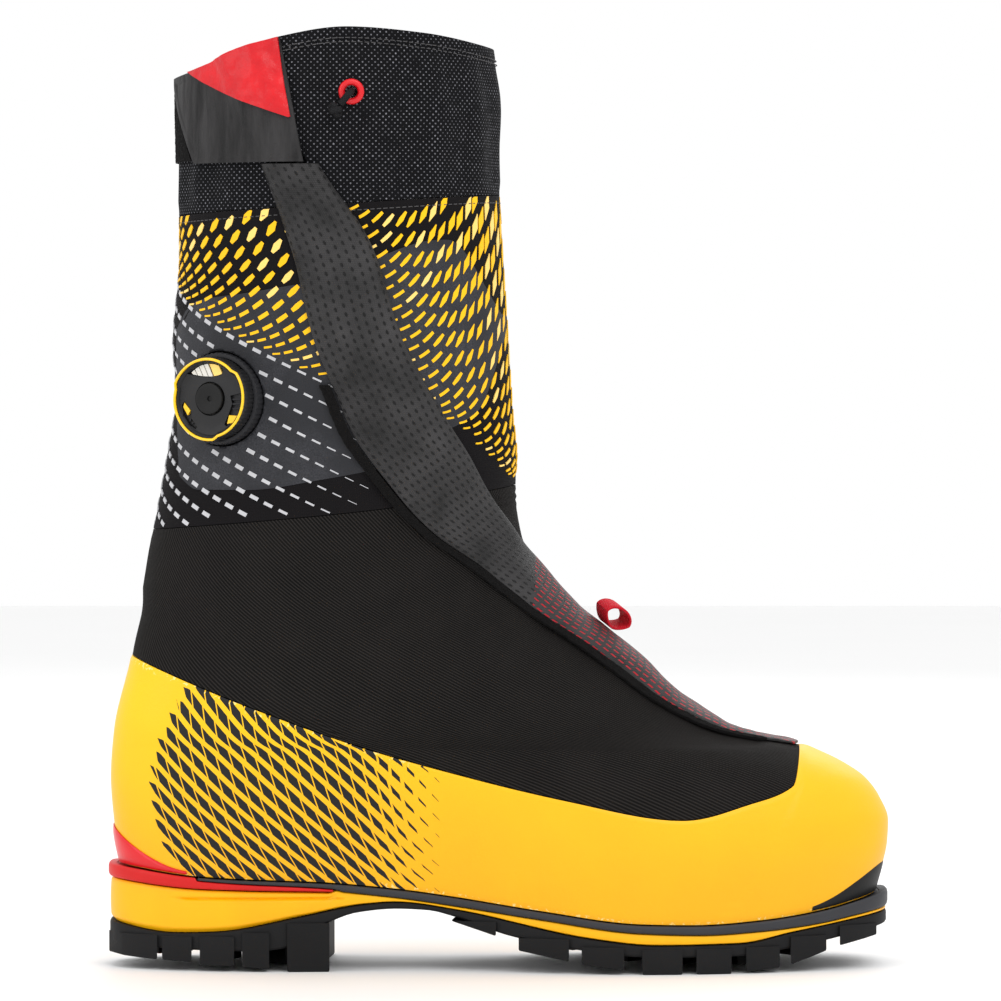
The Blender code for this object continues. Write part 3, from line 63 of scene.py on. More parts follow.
# %% [markdown]
# ## Studio
# Large area lights from above and both sides give the long soft highlights that satin rubber needs, and a
# pale world fills the shadows. The floor is a plain pale plane.

# %% Studio lights and floor
def area_light(name, place, size, watts):
    data = bpy.data.lights.new(name, "AREA")
    data.shape = "RECTANGLE"
    data.size, data.size_y = size
    data.energy = watts
    light = bpy.data.objects.new(name, data)
    scene.collection.objects.link(light)
    light.location = place
    light.rotation_euler = (Vector((0, 0, 0.15)) - Vector(place)).to_track_quat("-Z", "Y").to_euler()


area_light("key_light", (0.7, -1.5, 1.7), (1.4, 1.0), 13)
area_light("side_light", (-1.6, -0.9, 0.9), (1.0, 1.2), 6)
area_light("back_light", (0.4, 1.7, 1.3), (1.6, 1.0), 9)
area_light("top_light", (0.0, 0.1, 2.0), (1.6, 1.2), 5)
world = bpy.data.worlds.new("studio")
world.use_nodes = True
world.node_tree.nodes["Background"].inputs["Color"].default_value = (1.0, 1.0, 1.0, 1)
world.node_tree.nodes["Background"].inputs["Strength"].default_value = 1.0
scene.world = world
scene.view_settings.view_transform = "Standard"

floor_mesh = bpy.data.meshes.new("floor")
floor_mesh.from_pydata([(-4, -4, 0), (4, -4, 0), (4, 4, 0), (-4, 4, 0)], [], [(0, 1, 2, 3)])
floor = bpy.data.objects.new("floor", floor_mesh)
scene.collection.objects.link(floor)

# %% [markdown]
# ## Shader maths in plain expressions
# A pattern such as a weave is a little arithmetic on a coordinate. `Value` wraps one socket, so that the
# sum can be written as a sum, and `Finish` makes every other node through one method.

# %% Values and finishes
class Value:
    def __init__(self, finish, socket):
        self.finish = finish
        self.socket = socket

    def math(self, operation, *others):
        return self.finish.node("ShaderNodeMath", {"operation": operation}, (self, *others))

    def __add__(self, other):
        return self.math("ADD", other)

    def __radd__(self, other):
        return self.math("ADD", other)

    def __sub__(self, other):
        return self.math("SUBTRACT", other)

    def __rsub__(self, other):
        return self.finish.node("ShaderNodeMath", {"operation": "SUBTRACT"}, (other, self))

    def __mul__(self, other):
        return self.math("MULTIPLY", other)

    def __rmul__(self, other):
        return self.math("MULTIPLY", other)

    def __truediv__(self, other):
        return self.math("DIVIDE", other)

    def __gt__(self, other):
        return self.math("GREATER_THAN", other)

    def __lt__(self, other):
        return self.math("LESS_THAN", other)

    def fract(self):
        return self.math("FRACT")

    def floor(self):
        return self.math("FLOOR")

    def abs(self):
        return self.math("ABSOLUTE")

    def clamp(self):
        return self.finish.node("ShaderNodeClamp", {}, (self, 0.0, 1.0))

    def wave(self):
        """A rounded ridge that repeats once for each unit: 0 at whole numbers, 1 halfway between."""
        return 1 - (self.fract() * 2 - 1).abs()


class Finish:
    """One procedural material and the few calls that build its nodes."""

    def __init__(self, name, roughness=0.5, **constants):
        self.material = bpy.data.materials.new(name)
        self.material.use_nodes = True
        self.nodes = self.material.node_tree.nodes
        self.shader = self.nodes["Principled BSDF"]
        self.set("Roughness", roughness)
        for key, value in constants.items():
            self.set(key.replace("_", " ").title().replace("Ior", "IOR"), value)

    def put(self, socket, item):
        if isinstance(item, Value):
            self.material.node_tree.links.new(item.socket, socket)
        else:
            socket.default_value = (*item, 1.0) if socket.type == "RGBA" and len(item) == 3 else item

    def set(self, name, item):
        self.put(self.shader.inputs[name], item)

    def node(self, kind, settings, values=(), named=None, out=0):
        node = self.nodes.new(kind)
        for key, value in settings.items():
            setattr(node, key, value)
        for socket, item in zip(node.inputs, values):
            self.put(socket, item)
        for key, item in (named or {}).items():
            self.put(node.inputs[key], item)
        return Value(self, node.outputs[out])

    def place(self):
        """Object coordinates as three numbers, in metres."""
        coordinates = self.node("ShaderNodeTexCoord", {}, out=3)
        split = self.nodes.new("ShaderNodeSeparateXYZ")
        self.put(split.inputs[0], coordinates)
        return [Value(self, out) for out in split.outputs]

    def cloth(self):
        """The piece's own map: metres round the boot and metres up it."""
        coordinates = self.node("ShaderNodeUVMap", {"uv_map": "cloth"})
        split = self.nodes.new("ShaderNodeSeparateXYZ")
        self.put(split.inputs[0], coordinates)
        return [Value(self, out) for out in split.outputs[:2]]

    def mark(self, name):
        """A number stored at the piece's points."""
        return self.node("ShaderNodeAttribute", {"attribute_name": name}, out=2)

    def noise(self, scale, detail=3.0, roughness=0.55, vector=None):
        named = {"Scale": scale, "Detail": detail, "Roughness": roughness}
        named["Vector"] = vector or self.node("ShaderNodeTexCoord", {}, out=3)
        return self.node("ShaderNodeTexNoise", {}, named=named)

    def colour(self, share, first, second):
        """A blend from the first colour, at share 0, to the second, at share 1."""
        node = self.nodes.new("ShaderNodeMix")
        node.data_type = "RGBA"
        self.put(node.inputs[0], share)
        self.put(node.inputs[6], first)
        self.put(node.inputs[7], second)
        return Value(self, node.outputs[2])

    def bump(self, height, depth):
        """A relief of the given depth in metres."""
        named = {"Height": height, "Distance": depth, "Strength": 1.0}
        self.set("Normal", self.node("ShaderNodeBump", {}, named=named))


pale_floor = Finish("pale_floor", 0.6)
pale_floor.set("Base Color", pale_floor.colour(pale_floor.noise(3.0), (0.90, 0.90, 0.90), (0.93, 0.93, 0.93)))
floor.data.materials.append(pale_floor.material)

# %% [markdown]
# ## The last
# A boot's upper is pulled over a last, a solid foot and shin. Here the last is a stack of level ovals
# between a heel line and a front line, the same that the frame's solids follow. A point on it is named by
# its height z and its angle phi: 0 in front, pi behind, negative on the outer side.

# %% Lines of the last
REAR_LINE = (
    (0.015, -0.1500), (0.042, -0.1526), (0.056, -0.1550), (0.076, -0.1565), (0.095, -0.1552),
    (0.124, -0.1486), (0.172, -0.1406), (0.210, -0.1338), (0.230, -0.1308), (0.250, -0.1322),
    (0.287, -0.1294), (0.322, -0.1294), (0.350, -0.1298), (0.378, -0.1262),
)
FRONT_LINE = (
    (0.015, 0.1490), (0.032, 0.1526), (0.050, 0.1570), (0.058, 0.1574), (0.067, 0.1540),
    (0.0745, 0.1485), (0.0805, 0.1400), (0.0852, 0.1305), (0.0888, 0.1212), (0.0908, 0.1100),
    (0.0957, 0.0925), (0.107, 0.0736), (0.118, 0.0614), (0.131, 0.0470), (0.144, 0.0306),
    (0.156, 0.0200), (0.173, 0.0098), (0.190, 0.0072), (0.206, 0.0080), (0.222, 0.0065),
    (0.252, 0.0046), (0.287, 0.0024), (0.328, 0.0002), (0.345, 0.0009), (0.378, -0.0030),
)
FOOT_WIDTHS = (
    (-0.157, 0.0480, 0.0480), (-0.110, 0.0465, 0.0465), (-0.060, 0.0390, 0.0375), (-0.025, 0.0370, 0.0340),
    (0.010, 0.0435, 0.0385), (0.045, 0.0520, 0.0475), (0.075, 0.0545, 0.0555), (0.110, 0.0555, 0.0575),
    (0.157, 0.0540, 0.0560),
)
BLUNTNESS = (
    (0.015, 0.66, 0.66), (0.045, 0.66, 0.68), (0.070, 0.76, 0.70), (0.095, 1.00, 0.73), (0.140, 1.00, 0.84),
    (0.190, 1.00, 0.95), (0.378, 1.00, 1.00),
)
SHAFT_HALVES = (
    (0.100, 0.0440), (0.150, 0.0440), (0.185, 0.0455), (0.215, 0.0490), (0.260, 0.0525), (0.300, 0.0530),
    (0.350, 0.0530), (0.378, 0.0520),
)
WELT_TOP = (
    (-0.146, 0.0402), (-0.121, 0.0372), (-0.069, 0.0350), (-0.041, 0.0325), (-0.016, 0.0291), (0.020, 0.0238),
    (0.057, 0.0194), (0.080, 0.0189), (0.105, 0.0204), (0.119, 0.0220), (0.132, 0.0242), (0.144, 0.0270),
)
RAND_TOP = (
    (-0.157, 0.1290), (-0.138, 0.1210), (-0.0976, 0.1050), (-0.0428, 0.0860), (0.0286, 0.0685),
    (0.074, 0.0612), (0.1005, 0.0673), (0.1180, 0.0740), (0.1225, 0.0920), (0.158, 0.2300),
)
PRINT_BOTTOM = ((-0.150, 0.1750), (-0.043, 0.1850), (0.020, 0.1960))
CUFF_BOTTOM = ((-0.140, 0.3015), (-0.060, 0.3060), (0.010, 0.3110))
COLLAR_TOP = (
    (-0.135, 0.3560), (-0.117, 0.3610), (-0.086, 0.3724), (-0.060, 0.3760), (-0.030, 0.3740), (0.000, 0.3690),
)
FLAP_EDGES = (
    (0.0885, -9.0, 9.0), (0.092, -14.0, 13.0), (0.102, -19.0, 15.0), (0.125, -28.0, 14.0),
    (0.149, -38.0, 8.0), (0.161, -45.0, 0.0), (0.177, -60.0, -19.0), (0.189, -69.0, -31.0),
    (0.215, -86.0, -50.0), (0.249, -97.0, -67.0), (0.291, -107.0, -79.0), (0.322, -117.0, -96.0),
    (0.378, -139.0, -118.0),
)
TAB_REAR = ((0.322, -149.0), (0.357, -172.0))
CENTRE_SHIFT, TOE_SWING = 0.0017, 0.0060
SOLE_LENGTH, SOLE_MARGIN, SOLE_BLUNT = 0.3152, 0.0016, 0.66
GAP = 0.0003
LAST_FOOT, LAST_TOP = 0.015, 0.378


def smooth(points, factor=1.0):
    """A smooth curve through (place, value) points that never overshoots them."""
    place = np.array([p[0] for p in points])
    value = np.array([p[1] for p in points]) * factor
    step = np.diff(place)
    slope = np.diff(value) / step
    tangent = np.zeros(len(place))
    tangent[0], tangent[-1] = slope[0], slope[-1]
    same_way = slope[:-1] * slope[1:] > 0
    mean = 2 * slope[:-1] * slope[1:] / np.where(same_way, slope[:-1] + slope[1:], 1)
    tangent[1:-1] = np.where(same_way, mean, 0)

    def curve(at):
        at = np.clip(np.asarray(at, float), place[0], place[-1])
        i = np.clip(np.searchsorted(place, at) - 1, 0, len(step) - 1)
        t = (at - place[i]) / step[i]
        rise = (1 + 2 * t) * (1 - t) ** 2 * value[i] + t * t * (3 - 2 * t) * value[i + 1]
        return rise + t * (1 - t) * step[i] * ((1 - t) * tangent[i] - t * tangent[i + 1])

    return curve


def ease(t):
    t = np.clip(t, 0, 1)
    return t * t * (3 - 2 * t)


def pick(table, column):
    return smooth([(row[0], row[column]) for row in table])


rear_line, front_line = smooth(REAR_LINE), smooth(FRONT_LINE)
lateral_foot, medial_foot = pick(FOOT_WIDTHS, 1), pick(FOOT_WIDTHS, 2)
toe_blunt, heel_blunt = pick(BLUNTNESS, 1), pick(BLUNTNESS, 2)
shaft_half, welt_curve = smooth(SHAFT_HALVES), smooth(WELT_TOP)
rand_top, print_bottom = smooth(RAND_TOP), smooth(PRINT_BOTTOM)
cuff_bottom, collar_top = smooth(CUFF_BOTTOM), smooth(COLLAR_TOP)
flap_rear = smooth([(z, math.radians(a)) for z, a, _ in FLAP_EDGES])
flap_front = smooth([(z, math.radians(a)) for z, _, a in FLAP_EDGES])
tab_rear = smooth([(z, math.radians(a)) for z, a in TAB_REAR])


HEEL_SLOPE, TOE_SLOPE = -0.122, 0.26


def welt_top(x):
    """Top of the sole's frame; it runs on as a straight ramp past its first and last point."""
    x = np.asarray(x, float)
    rear, front = WELT_TOP[0][0], WELT_TOP[-1][0]
    toe_flat = welt_curve(front) + (x - front) * TOE_SLOPE
    heel_flat = welt_curve(rear) + (x - rear) * HEEL_SLOPE
    return np.where(x > front, toe_flat, np.where(x < rear, heel_flat, welt_curve(x)))


def middle(x):
    return CENTRE_SHIFT + TOE_SWING * ease((np.asarray(x) - 0.050) / 0.110)


def oval(share, blunt):
    return np.maximum(0, 1 - np.asarray(share) ** 2) ** (blunt / 2)


def skin(z, phi):
    """The point of the last at a height and an angle."""
    z, phi = np.broadcast_arrays(np.asarray(z, float), np.asarray(phi, float))
    rear, front = rear_line(z), front_line(z)
    x = (front + rear) / 2 + (front - rear) / 2 * np.cos(phi)
    foot = np.where(np.sin(phi) < 0, lateral_foot(x), medial_foot(x))
    rise = ease((z - 0.040) / 0.110)
    half = foot * (1 - rise) + shaft_half(z) * rise
    blunt = np.where(np.cos(phi) > 0, toe_blunt(z), heel_blunt(z))
    y = middle(x) + np.sign(np.sin(phi)) * half * np.abs(np.sin(phi)) ** blunt
    return np.stack([x, y, z], axis=-1)


def outward(z, phi):
    tiny = 1e-4
    z, phi = np.broadcast_arrays(np.asarray(z, float), np.asarray(phi, float))
    normal = np.cross(skin(z, phi + tiny) - skin(z, phi - tiny), skin(z + tiny, phi) - skin(z - tiny, phi))
    return normal / np.linalg.norm(normal, axis=-1, keepdims=True)


def under(z, phi, depth):
    """The point at a depth under the last's skin; a negative depth lies outside it."""
    return skin(z, phi) - outward(z, phi) * np.asarray(depth)[..., None]


def angle_at(z, x):
    """The outer side's angle at which a slice reaches x."""
    rear, front = rear_line(z), front_line(z)
    return -np.arccos(np.clip((x - (front + rear) / 2) / ((front - rear) / 2), -1, 1))


def height_on(line, phi, raise_by=0.0):
    """The height at which each angle's path up the last crosses a line of heights along the boot."""
    low, high = np.full(np.shape(phi), LAST_FOOT), np.full(np.shape(phi), LAST_TOP)
    for _ in range(34):
        mid = (low + high) / 2
        above = mid > line(skin(mid, phi)[..., 0]) + raise_by
        high = np.where(above, mid, high)
        low = np.where(above, low, mid)
    return (low + high) / 2


HEIGHTS = np.linspace(LAST_FOOT, LAST_TOP, 400)
TRAVEL = np.cumsum(np.hypot(np.gradient(front_line(HEIGHTS)) * 0.6, np.gradient(HEIGHTS)))


def climb(low, high, rows):
    """Heights from low to high, closer together where the instep and the toe lie flat."""
    start, end = np.interp(low, HEIGHTS, TRAVEL), np.interp(high, HEIGHTS, TRAVEL)
    steps = np.linspace(0, 1, rows + 1).reshape((-1,) + (1,) * np.ndim(low))
    return np.interp(start + (end - start) * steps, TRAVEL, HEIGHTS)


ZIP_STRAIGHT = (0.290, 0.347)  # the zip is straight from here, aiming at there


def zip_angle(z):
    """Angle of the zip's middle: under the flap's middle, and straight near the top."""
    z = np.asarray(z, float)
    free = (flap_rear(z) + flap_front(z)) / 2
    low, high = ZIP_STRAIGHT
    ends = [skin(h, (flap_rear(h) + flap_front(h)) / 2)[..., 0] for h in ZIP_STRAIGHT]
    straight = angle_at(z, ends[0] + (ends[1] - ends[0]) * (z - low) / (high - low))
    return np.where(z > low, straight, free)


def round_about(columns):
    """Angles round a slice, closer together at the toe and the heel."""
    turn = np.linspace(0, 2 * math.pi, columns, endpoint=False)
    return turn - 0.15 * np.sin(2 * turn)


print("last: ankle half width", round(float(shaft_half(0.2)), 4))

# %% [markdown]
# ## From lines to solids
# Cloth, rubber and film are all walls: a grid of points outside, the same grid a little deeper, and a rim
# that joins them. Each wall gets a map in metres, so that a weave keeps its true size on it.

# %% Solid makers
def finish_mesh(name, points, faces, look, sharp=38, maps=None, marks=None):
    mesh = bpy.data.meshes.new(name)
    mesh.from_pydata([tuple(p) for p in points], [], faces)
    work = bmesh.new()
    work.from_mesh(mesh)
    bmesh.ops.recalc_face_normals(work, faces=work.faces)
    work.to_mesh(mesh)
    work.free()
    mesh.shade_smooth()
    mesh.set_sharp_from_angle(angle=math.radians(sharp))
    if maps is not None:
        layer = mesh.uv_layers.new(name="cloth")
        corner = np.empty(len(mesh.loops), dtype=np.int64)
        mesh.loops.foreach_get("vertex_index", corner)
        layer.data.foreach_set("uv", np.asarray(maps, float)[corner].ravel())
    for key, values in (marks or {}).items():
        stored = mesh.attributes.new(key, "FLOAT", "POINT")
        stored.data.foreach_set("value", np.asarray(values, float).ravel())
    mesh.materials.append(look.material)
    obj = bpy.data.objects.new(name, mesh)
    scene.collection.objects.link(obj)
    return obj


def grid_map(points):
    """Metres round and metres up for a grid of points, measured along it."""
    round_it = np.linalg.norm(np.diff(points, axis=1), axis=-1)
    round_it = np.concatenate([np.zeros((len(points), 1)), np.cumsum(round_it, axis=1)], axis=1)
    round_it = round_it - round_it[:, -1:] / 2
    up = np.linalg.norm(np.diff(points, axis=0), axis=-1)
    up = np.concatenate([np.zeros((1, points.shape[1])), np.cumsum(up, axis=0)], axis=0)
    return np.stack([round_it, up], axis=-1)


def wall(name, outer, inner, look, closed=False, maps=None, marks=None, sharp=38):
    """A solid between two grids of points; rows go up and columns go round."""
    rows, columns = outer.shape[:2]
    if maps is None:
        maps = grid_map(outer)
    side = rows * columns
    faces = []
    for c in range(columns if closed else columns - 1):
        d = (c + 1) % columns
        for r in range(rows - 1):
            a, b = r * columns + c, r * columns + d
            faces.append((a, b, b + columns, a + columns))
            faces.append((side + a + columns, side + b + columns, side + b, side + a))
        top = (rows - 1) * columns
        faces.append((c, side + c, side + d, d))
        faces.append((top + c, top + d, side + top + d, side + top + c))
    if not closed:
        for r in range(rows - 1):
            a, b = r * columns, r * columns + columns - 1
            faces.append((a, a + columns, side + a + columns, side + a))
            faces.append((b, side + b, side + b + columns, b + columns))
    points = np.concatenate([outer.reshape(-1, 3), inner.reshape(-1, 3)])
    maps = np.concatenate([maps.reshape(-1, 2)] * 2)
    marks = {key: np.concatenate([np.ravel(m)] * 2) for key, m in (marks or {}).items()}
    return finish_mesh(name, points, faces, look, sharp, maps, marks)


def stand_for(obj, slot, body, *nodes):
    """This piece rides on a body and stands for its nodes of the frame, which are hidden; the slot is not
    used.
    """
    if nodes:
        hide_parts(*nodes)
    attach(obj, body)
    return obj


def apply_modifiers(obj):
    """Gives a piece the mesh that its modifiers make, and takes them off."""
    bpy.context.view_layer.update()
    mesh = bpy.data.meshes.new_from_object(obj.evaluated_get(bpy.context.evaluated_depsgraph_get()))
    obj.modifiers.clear()
    obj.data = mesh


def combine(obj, other, operation="DIFFERENCE", solver="EXACT"):
    """Cuts the other solid out of a piece, or joins it on, and removes the other."""
    modifier = obj.modifiers.new("combine", "BOOLEAN")
    modifier.operation, modifier.solver, modifier.object = operation, solver, other
    apply_modifiers(obj)
    bpy.data.objects.remove(other)


def cap_faces(first, columns):
    """Faces that close a ring round the foot, in strips from its toe to its heel."""
    last, middle_one = first + columns, first + columns // 2
    across = [(first + c, first + c + 1, last - c - 1, last - c) for c in range(1, columns // 2 - 1)]
    return [(first, first + 1, last - 1), *across, (middle_one - 1, middle_one, middle_one + 1)]


def ripple(points, size, seed=0.0):
    """Smooth unevenness from -1 to 1 at each point, with bumps about size metres across."""
    flat = np.asarray(points).reshape(-1, 3) / size
    values = [noise.noise(Vector(p) + Vector((seed, 0, -seed))) for p in flat]
    return np.array(values).reshape(np.shape(points)[:-1])

# %% [markdown]
# ## Rubber of the rand
# The rand is a satin yellow rubber, painted a little paler on top as light from above, with black lozenges
# printed round the heel that shrink to slivers towards the middle of the foot. The lozenges are cells of a
# slanted grid on the rand's own map; a number stored at each point says how much of its cell is black.

# %% Yellow rubber finish
YELLOW_HIGH, YELLOW_LOW, PRINT_BLACK = (0.95, 0.57, 0.0), (0.92, 0.42, 0.0), (0.0045, 0.0040, 0.0045)


def slanted(u, v, degrees):
    """Two directions of a map turned by an angle."""
    c, s = math.cos(math.radians(degrees)), math.sin(math.radians(degrees))
    return u * c + v * s, v * c - u * s


yellow_rubber = Finish("yellow_rubber", 0.42, specular_ior_level=0.35)
z = yellow_rubber.place()[2]
u, v = yellow_rubber.cloth()
share = yellow_rubber.mark("lozenge")
NEXT_IN_ROW = (0.00638, -0.00536)  # step round and up to the next lozenge of a row
NEXT_ROW = (0.00485, 0.00280)  # step to the next row
CELL_AREA = NEXT_IN_ROW[0] * NEXT_ROW[1] - NEXT_IN_ROW[1] * NEXT_ROW[0]
ROW_SLANT = 1.385
row = (v * NEXT_IN_ROW[0] - u * NEXT_IN_ROW[1]) / CELL_AREA
place_in_row = (u * NEXT_ROW[1] - v * NEXT_ROW[0]) / CELL_AREA + (row.fract() - 0.5) * ROW_SLANT
across_row = (row.fract() - 0.5).abs() < share * 0.30
along_row = (place_in_row.fract() - 0.5).abs() < share * 0.20 + 0.24
black = across_row * along_row * (share > 0.06)
grain = yellow_rubber.noise(900, 4)
patch = yellow_rubber.noise(22, 3)
# Painted light from above: the rand is painted paler towards the top.
painted_top_light = ((z - 0.03) / 0.07).clamp()
tint = yellow_rubber.colour((painted_top_light * 0.8 + (patch - 0.5) * 0.5).clamp(), YELLOW_LOW, YELLOW_HIGH)
flecks = (yellow_rubber.noise(700, 2) > 0.60) * (yellow_rubber.mark("glue"))
tint = yellow_rubber.colour(flecks * 0.6, tint, (1.0, 0.85, 0.35))
yellow_rubber.set("Base Color", yellow_rubber.colour(black, tint, PRINT_BLACK))
yellow_rubber.set("Roughness", 0.36 + patch * 0.14 + black * 0.12)
yellow_rubber.bump(grain + patch * 1.5 - black * 0.6, 0.00012)

# %% [markdown]
# ## Cloths
# The ankle is a diagonal ribbed twill, the printed panel a fine plain weave with a bonded charcoal film over
# part of it, and the collar a stretch knit with a fine grid of pale dots. Each weave is a product of two
# waves on the piece's map.

# %% Cloth finishes
twill = Finish("ribbed_twill", 0.8, specular_ior_level=0.12)
u, v = twill.cloth()
along, over = slanted(u, v, -52)
rib = (over / 0.00105).wave()
thread = (along / 0.0007).wave()
patch = twill.noise(60, 4)
# Painted highlight: the rib crests are painted lighter, and the patch noise adds random tone.
sheen_and_tone = (rib * rib * 0.85 + patch * 0.3 - 0.1).clamp()
twill.set("Base Color", twill.colour(sheen_and_tone, (0.0012, 0.0011, 0.0010), (0.034, 0.030, 0.028)))
twill.set("Roughness", 0.72 + patch * 0.2)
twill.bump(rib * 0.8 + thread * 0.25 + patch * 0.3, 0.00045)

weave = Finish("printed_weave", 0.78, specular_ior_level=0.12)
u, v = weave.cloth()
cross = (u / 0.0006).wave() * 0.5 + (v / 0.0006).wave() * 0.5
patch = weave.noise(45, 4)
# Painted sheen: the thread crossings are painted lighter, and the patch noise adds random tone.
sheen_and_tone = (cross * 0.5 + patch * 0.4).clamp()
weave.set("Base Color", weave.colour(sheen_and_tone, (0.0026, 0.0022, 0.0026), (0.0100, 0.0085, 0.0095)))
weave.set("Roughness", 0.7 + patch * 0.2)
weave.bump(cross + patch, 0.00015)

film = Finish("bonded_film", 0.5, specular_ior_level=0.3)
speck = film.noise(1500, 2)
patch = film.noise(38, 5)
# Painted sheen: the film is painted paler where the shine mask and the specks meet.
shine = ((patch - 0.42) * 3).clamp()
sheen_and_tone = (shine * 0.75 * (speck - 0.28) * 2.4).clamp()
film.set("Base Color", film.colour(sheen_and_tone, (0.014, 0.0145, 0.018), (0.070, 0.071, 0.082)))
film.set("Roughness", 0.5 + patch * 0.2)
film.bump(speck + patch * 2, 0.00012)

knit = Finish("dotted_knit", 0.85, specular_ior_level=0.12)
u, v = knit.cloth()
COURSE = 0.0024
row_count = (v / (COURSE * 0.5)).floor()
odd = (row_count * 0.5).fract() * 2
du = ((u / COURSE + odd * 0.5).fract() - 0.5) * COURSE
dv = ((v / (COURSE * 0.5)).fract() - 0.5) * (COURSE * 0.5)
size = knit.noise(260, 2) * 0.0004 + 0.00012
dot = (du * du + dv * dv) < size * size
glow = ((knit.noise(420, 2) - 0.25) * 2.0).clamp()
stitch = (u / 0.0008).wave() * 0.5 + (v / 0.0006).wave() * 0.5
patch = knit.noise(30, 4)
body = knit.colour((stitch * 0.7 + patch * 0.2).clamp(), (0.0020, 0.0020, 0.0025), (0.0065, 0.0065, 0.0080))
knit.set("Base Color", knit.colour(dot * glow * 0.8, body, (0.30, 0.30, 0.33)))
knit.set("Roughness", 0.75 + patch * 0.2)
knit.bump(stitch + dot * 1.5 + patch, 0.00022)

# %% [markdown]
# ## Perforated film of the flap
# The flap is a soft charcoal film with staggered oval holes, which turn to red dashes over the instep. Each
# hole is drawn as a near-black oval of painted shade with a sunk rim: real holes here would be thousands of
# tiny walls.

# %% Flap finishes
perforated = Finish("perforated_film", 0.5, specular_ior_level=0.28)
u, v = perforated.cloth()
red_share = perforated.mark("instep")
PITCH_ALONG, PITCH_OVER = 0.0037, 0.0072
lane = (u / (PITCH_OVER * 0.5)).floor()
stagger = (lane * 0.5).fract()
du = ((u / (PITCH_OVER * 0.5)).fract() - 0.5) * (PITCH_OVER * 0.5)
dv = ((v / PITCH_ALONG + stagger).fract() - 0.5) * PITCH_ALONG
hole = ((du / 0.00060) * (du / 0.00060) + (dv / 0.00095) * (dv / 0.00095)) < 1.0
dash = (du.abs() < 0.00045) * (dv.abs() < 0.00120) * (red_share > 0.5)
rim = ((du / 0.0009) * (du / 0.0009) + (dv / 0.0013) * (dv / 0.0013)) < 1.0
mesh_lines = (u / 0.0009).wave() * 0.4 + (v / 0.0009).wave() * 0.4
patch = perforated.noise(50, 5)
fine = perforated.noise(1200, 2)
# Painted sheen: the flap film is painted paler where the patch noise is high, together with the mesh lines.
sheen_and_tone = ((patch - 0.38) * 2.6 + mesh_lines * 0.35).clamp()
tone = perforated.colour(sheen_and_tone, (0.0070, 0.0067, 0.0068), (0.042, 0.040, 0.041))
# Painted shade: each hole is painted near black in place of the shade inside it.
tone = perforated.colour(hole * (1 - dash), tone, (0.0012, 0.0010, 0.0012))
perforated.set("Base Color", perforated.colour(dash, tone, (0.40, 0.006, 0.016)))
perforated.set("Roughness", 0.34 + patch * 0.35)
perforated.bump(patch * 2.0 + fine * 0.4 + mesh_lines * 0.5 - rim * 0.7 - hole * 1.4, 0.00032)

tab_film = Finish("creased_film", 0.5, specular_ior_level=0.22)
u, v = tab_film.cloth()
streak_at = tab_film.node("ShaderNodeMapping", {}, named={
    "Vector": tab_film.node("ShaderNodeTexCoord", {}, out=3), "Scale": (160, 160, 24)})
streak = tab_film.noise(1.0, 5, 0.6, streak_at)
fine = tab_film.noise(1300, 2)
dot = ((((u / 0.0034).fract() - 0.5).abs() < 0.17) * (((v / 0.0045).fract() - 0.5).abs() < 0.16))
# Painted sheen: the creased film is painted paler along the streaks.
sheen_and_tone = ((streak - 0.3) * 2.2).clamp()
tab_film.set("Base Color", tab_film.colour(sheen_and_tone, (0.0030, 0.0028, 0.0030), (0.044, 0.042, 0.043)))
tab_film.set("Roughness", 0.42 + streak * 0.3)
tab_film.bump(streak * 2.5 + fine * 0.3 - dot * 0.6, 0.0004)

fuzz = Finish("fuzzy_band", 1.0, specular_ior_level=0.1)
tuft = fuzz.noise(1600, 6, 0.8)
fuzz.set("Base Color", fuzz.colour(tuft, (0.0012, 0.0012, 0.0012), (0.016, 0.015, 0.015)))
fuzz.bump(tuft, 0.0008)

# %% [markdown]
# ## Red, black and bare pieces
# Moulded red parts are glossy; the webbing has a visible cross weave; cords have a braid; the dial is a soft
# black plastic with a rubber skirt; steel is brushed.

# %% Small finishes
red_gloss = Finish("red_moulding", 0.28, specular_ior_level=0.35, coat_weight=0.1)
patch = red_gloss.noise(40, 3)
red_gloss.set("Base Color", red_gloss.colour(patch, (0.56, 0.004, 0.010), (0.78, 0.012, 0.018)))
red_gloss.set("Roughness", 0.22 + patch * 0.16)
red_gloss.bump(red_gloss.noise(700, 2), 0.00004)

red_film = Finish("red_corner", 0.35, specular_ior_level=0.3, coat_weight=0.1)
crumple = red_film.noise(85, 5, 0.6)
red_film.set("Base Color", red_film.colour(crumple, (0.36, 0.001, 0.006), (0.80, 0.008, 0.014)))
red_film.set("Roughness", 0.25 + crumple * 0.25)
red_film.bump(crumple, 0.0016)


def webbing_finish(name, dark, pale):
    made = Finish(name, 0.7, specular_ior_level=0.2)
    u, v = made.cloth()
    braid = ((u + v) / 0.0012).wave() * 0.5 + ((u - v) / 0.0012).wave() * 0.5
    made.set("Base Color", made.colour(braid, dark, pale))
    made.set("Roughness", 0.6 + braid * 0.25)
    made.bump(braid, 0.0003)
    return made


red_webbing = webbing_finish("red_webbing", (0.36, 0.003, 0.010), (0.74, 0.012, 0.030))
black_braid = webbing_finish("black_braid", (0.0016, 0.0016, 0.0020), (0.014, 0.014, 0.016))


def moulded(name, dark, pale, rough, grain, depth=0.00006, gloss=0.5, **constants):
    """A plain finish that wanders between two colours and has a fine grain."""
    made = Finish(name, rough, specular_ior_level=gloss, **constants)
    patch = made.noise(35, 4)
    made.set("Base Color", made.colour(patch, dark, pale))
    made.set("Roughness", rough - 0.08 + patch * 0.16)
    made.bump(made.noise(grain, 3) + patch, depth)
    return made


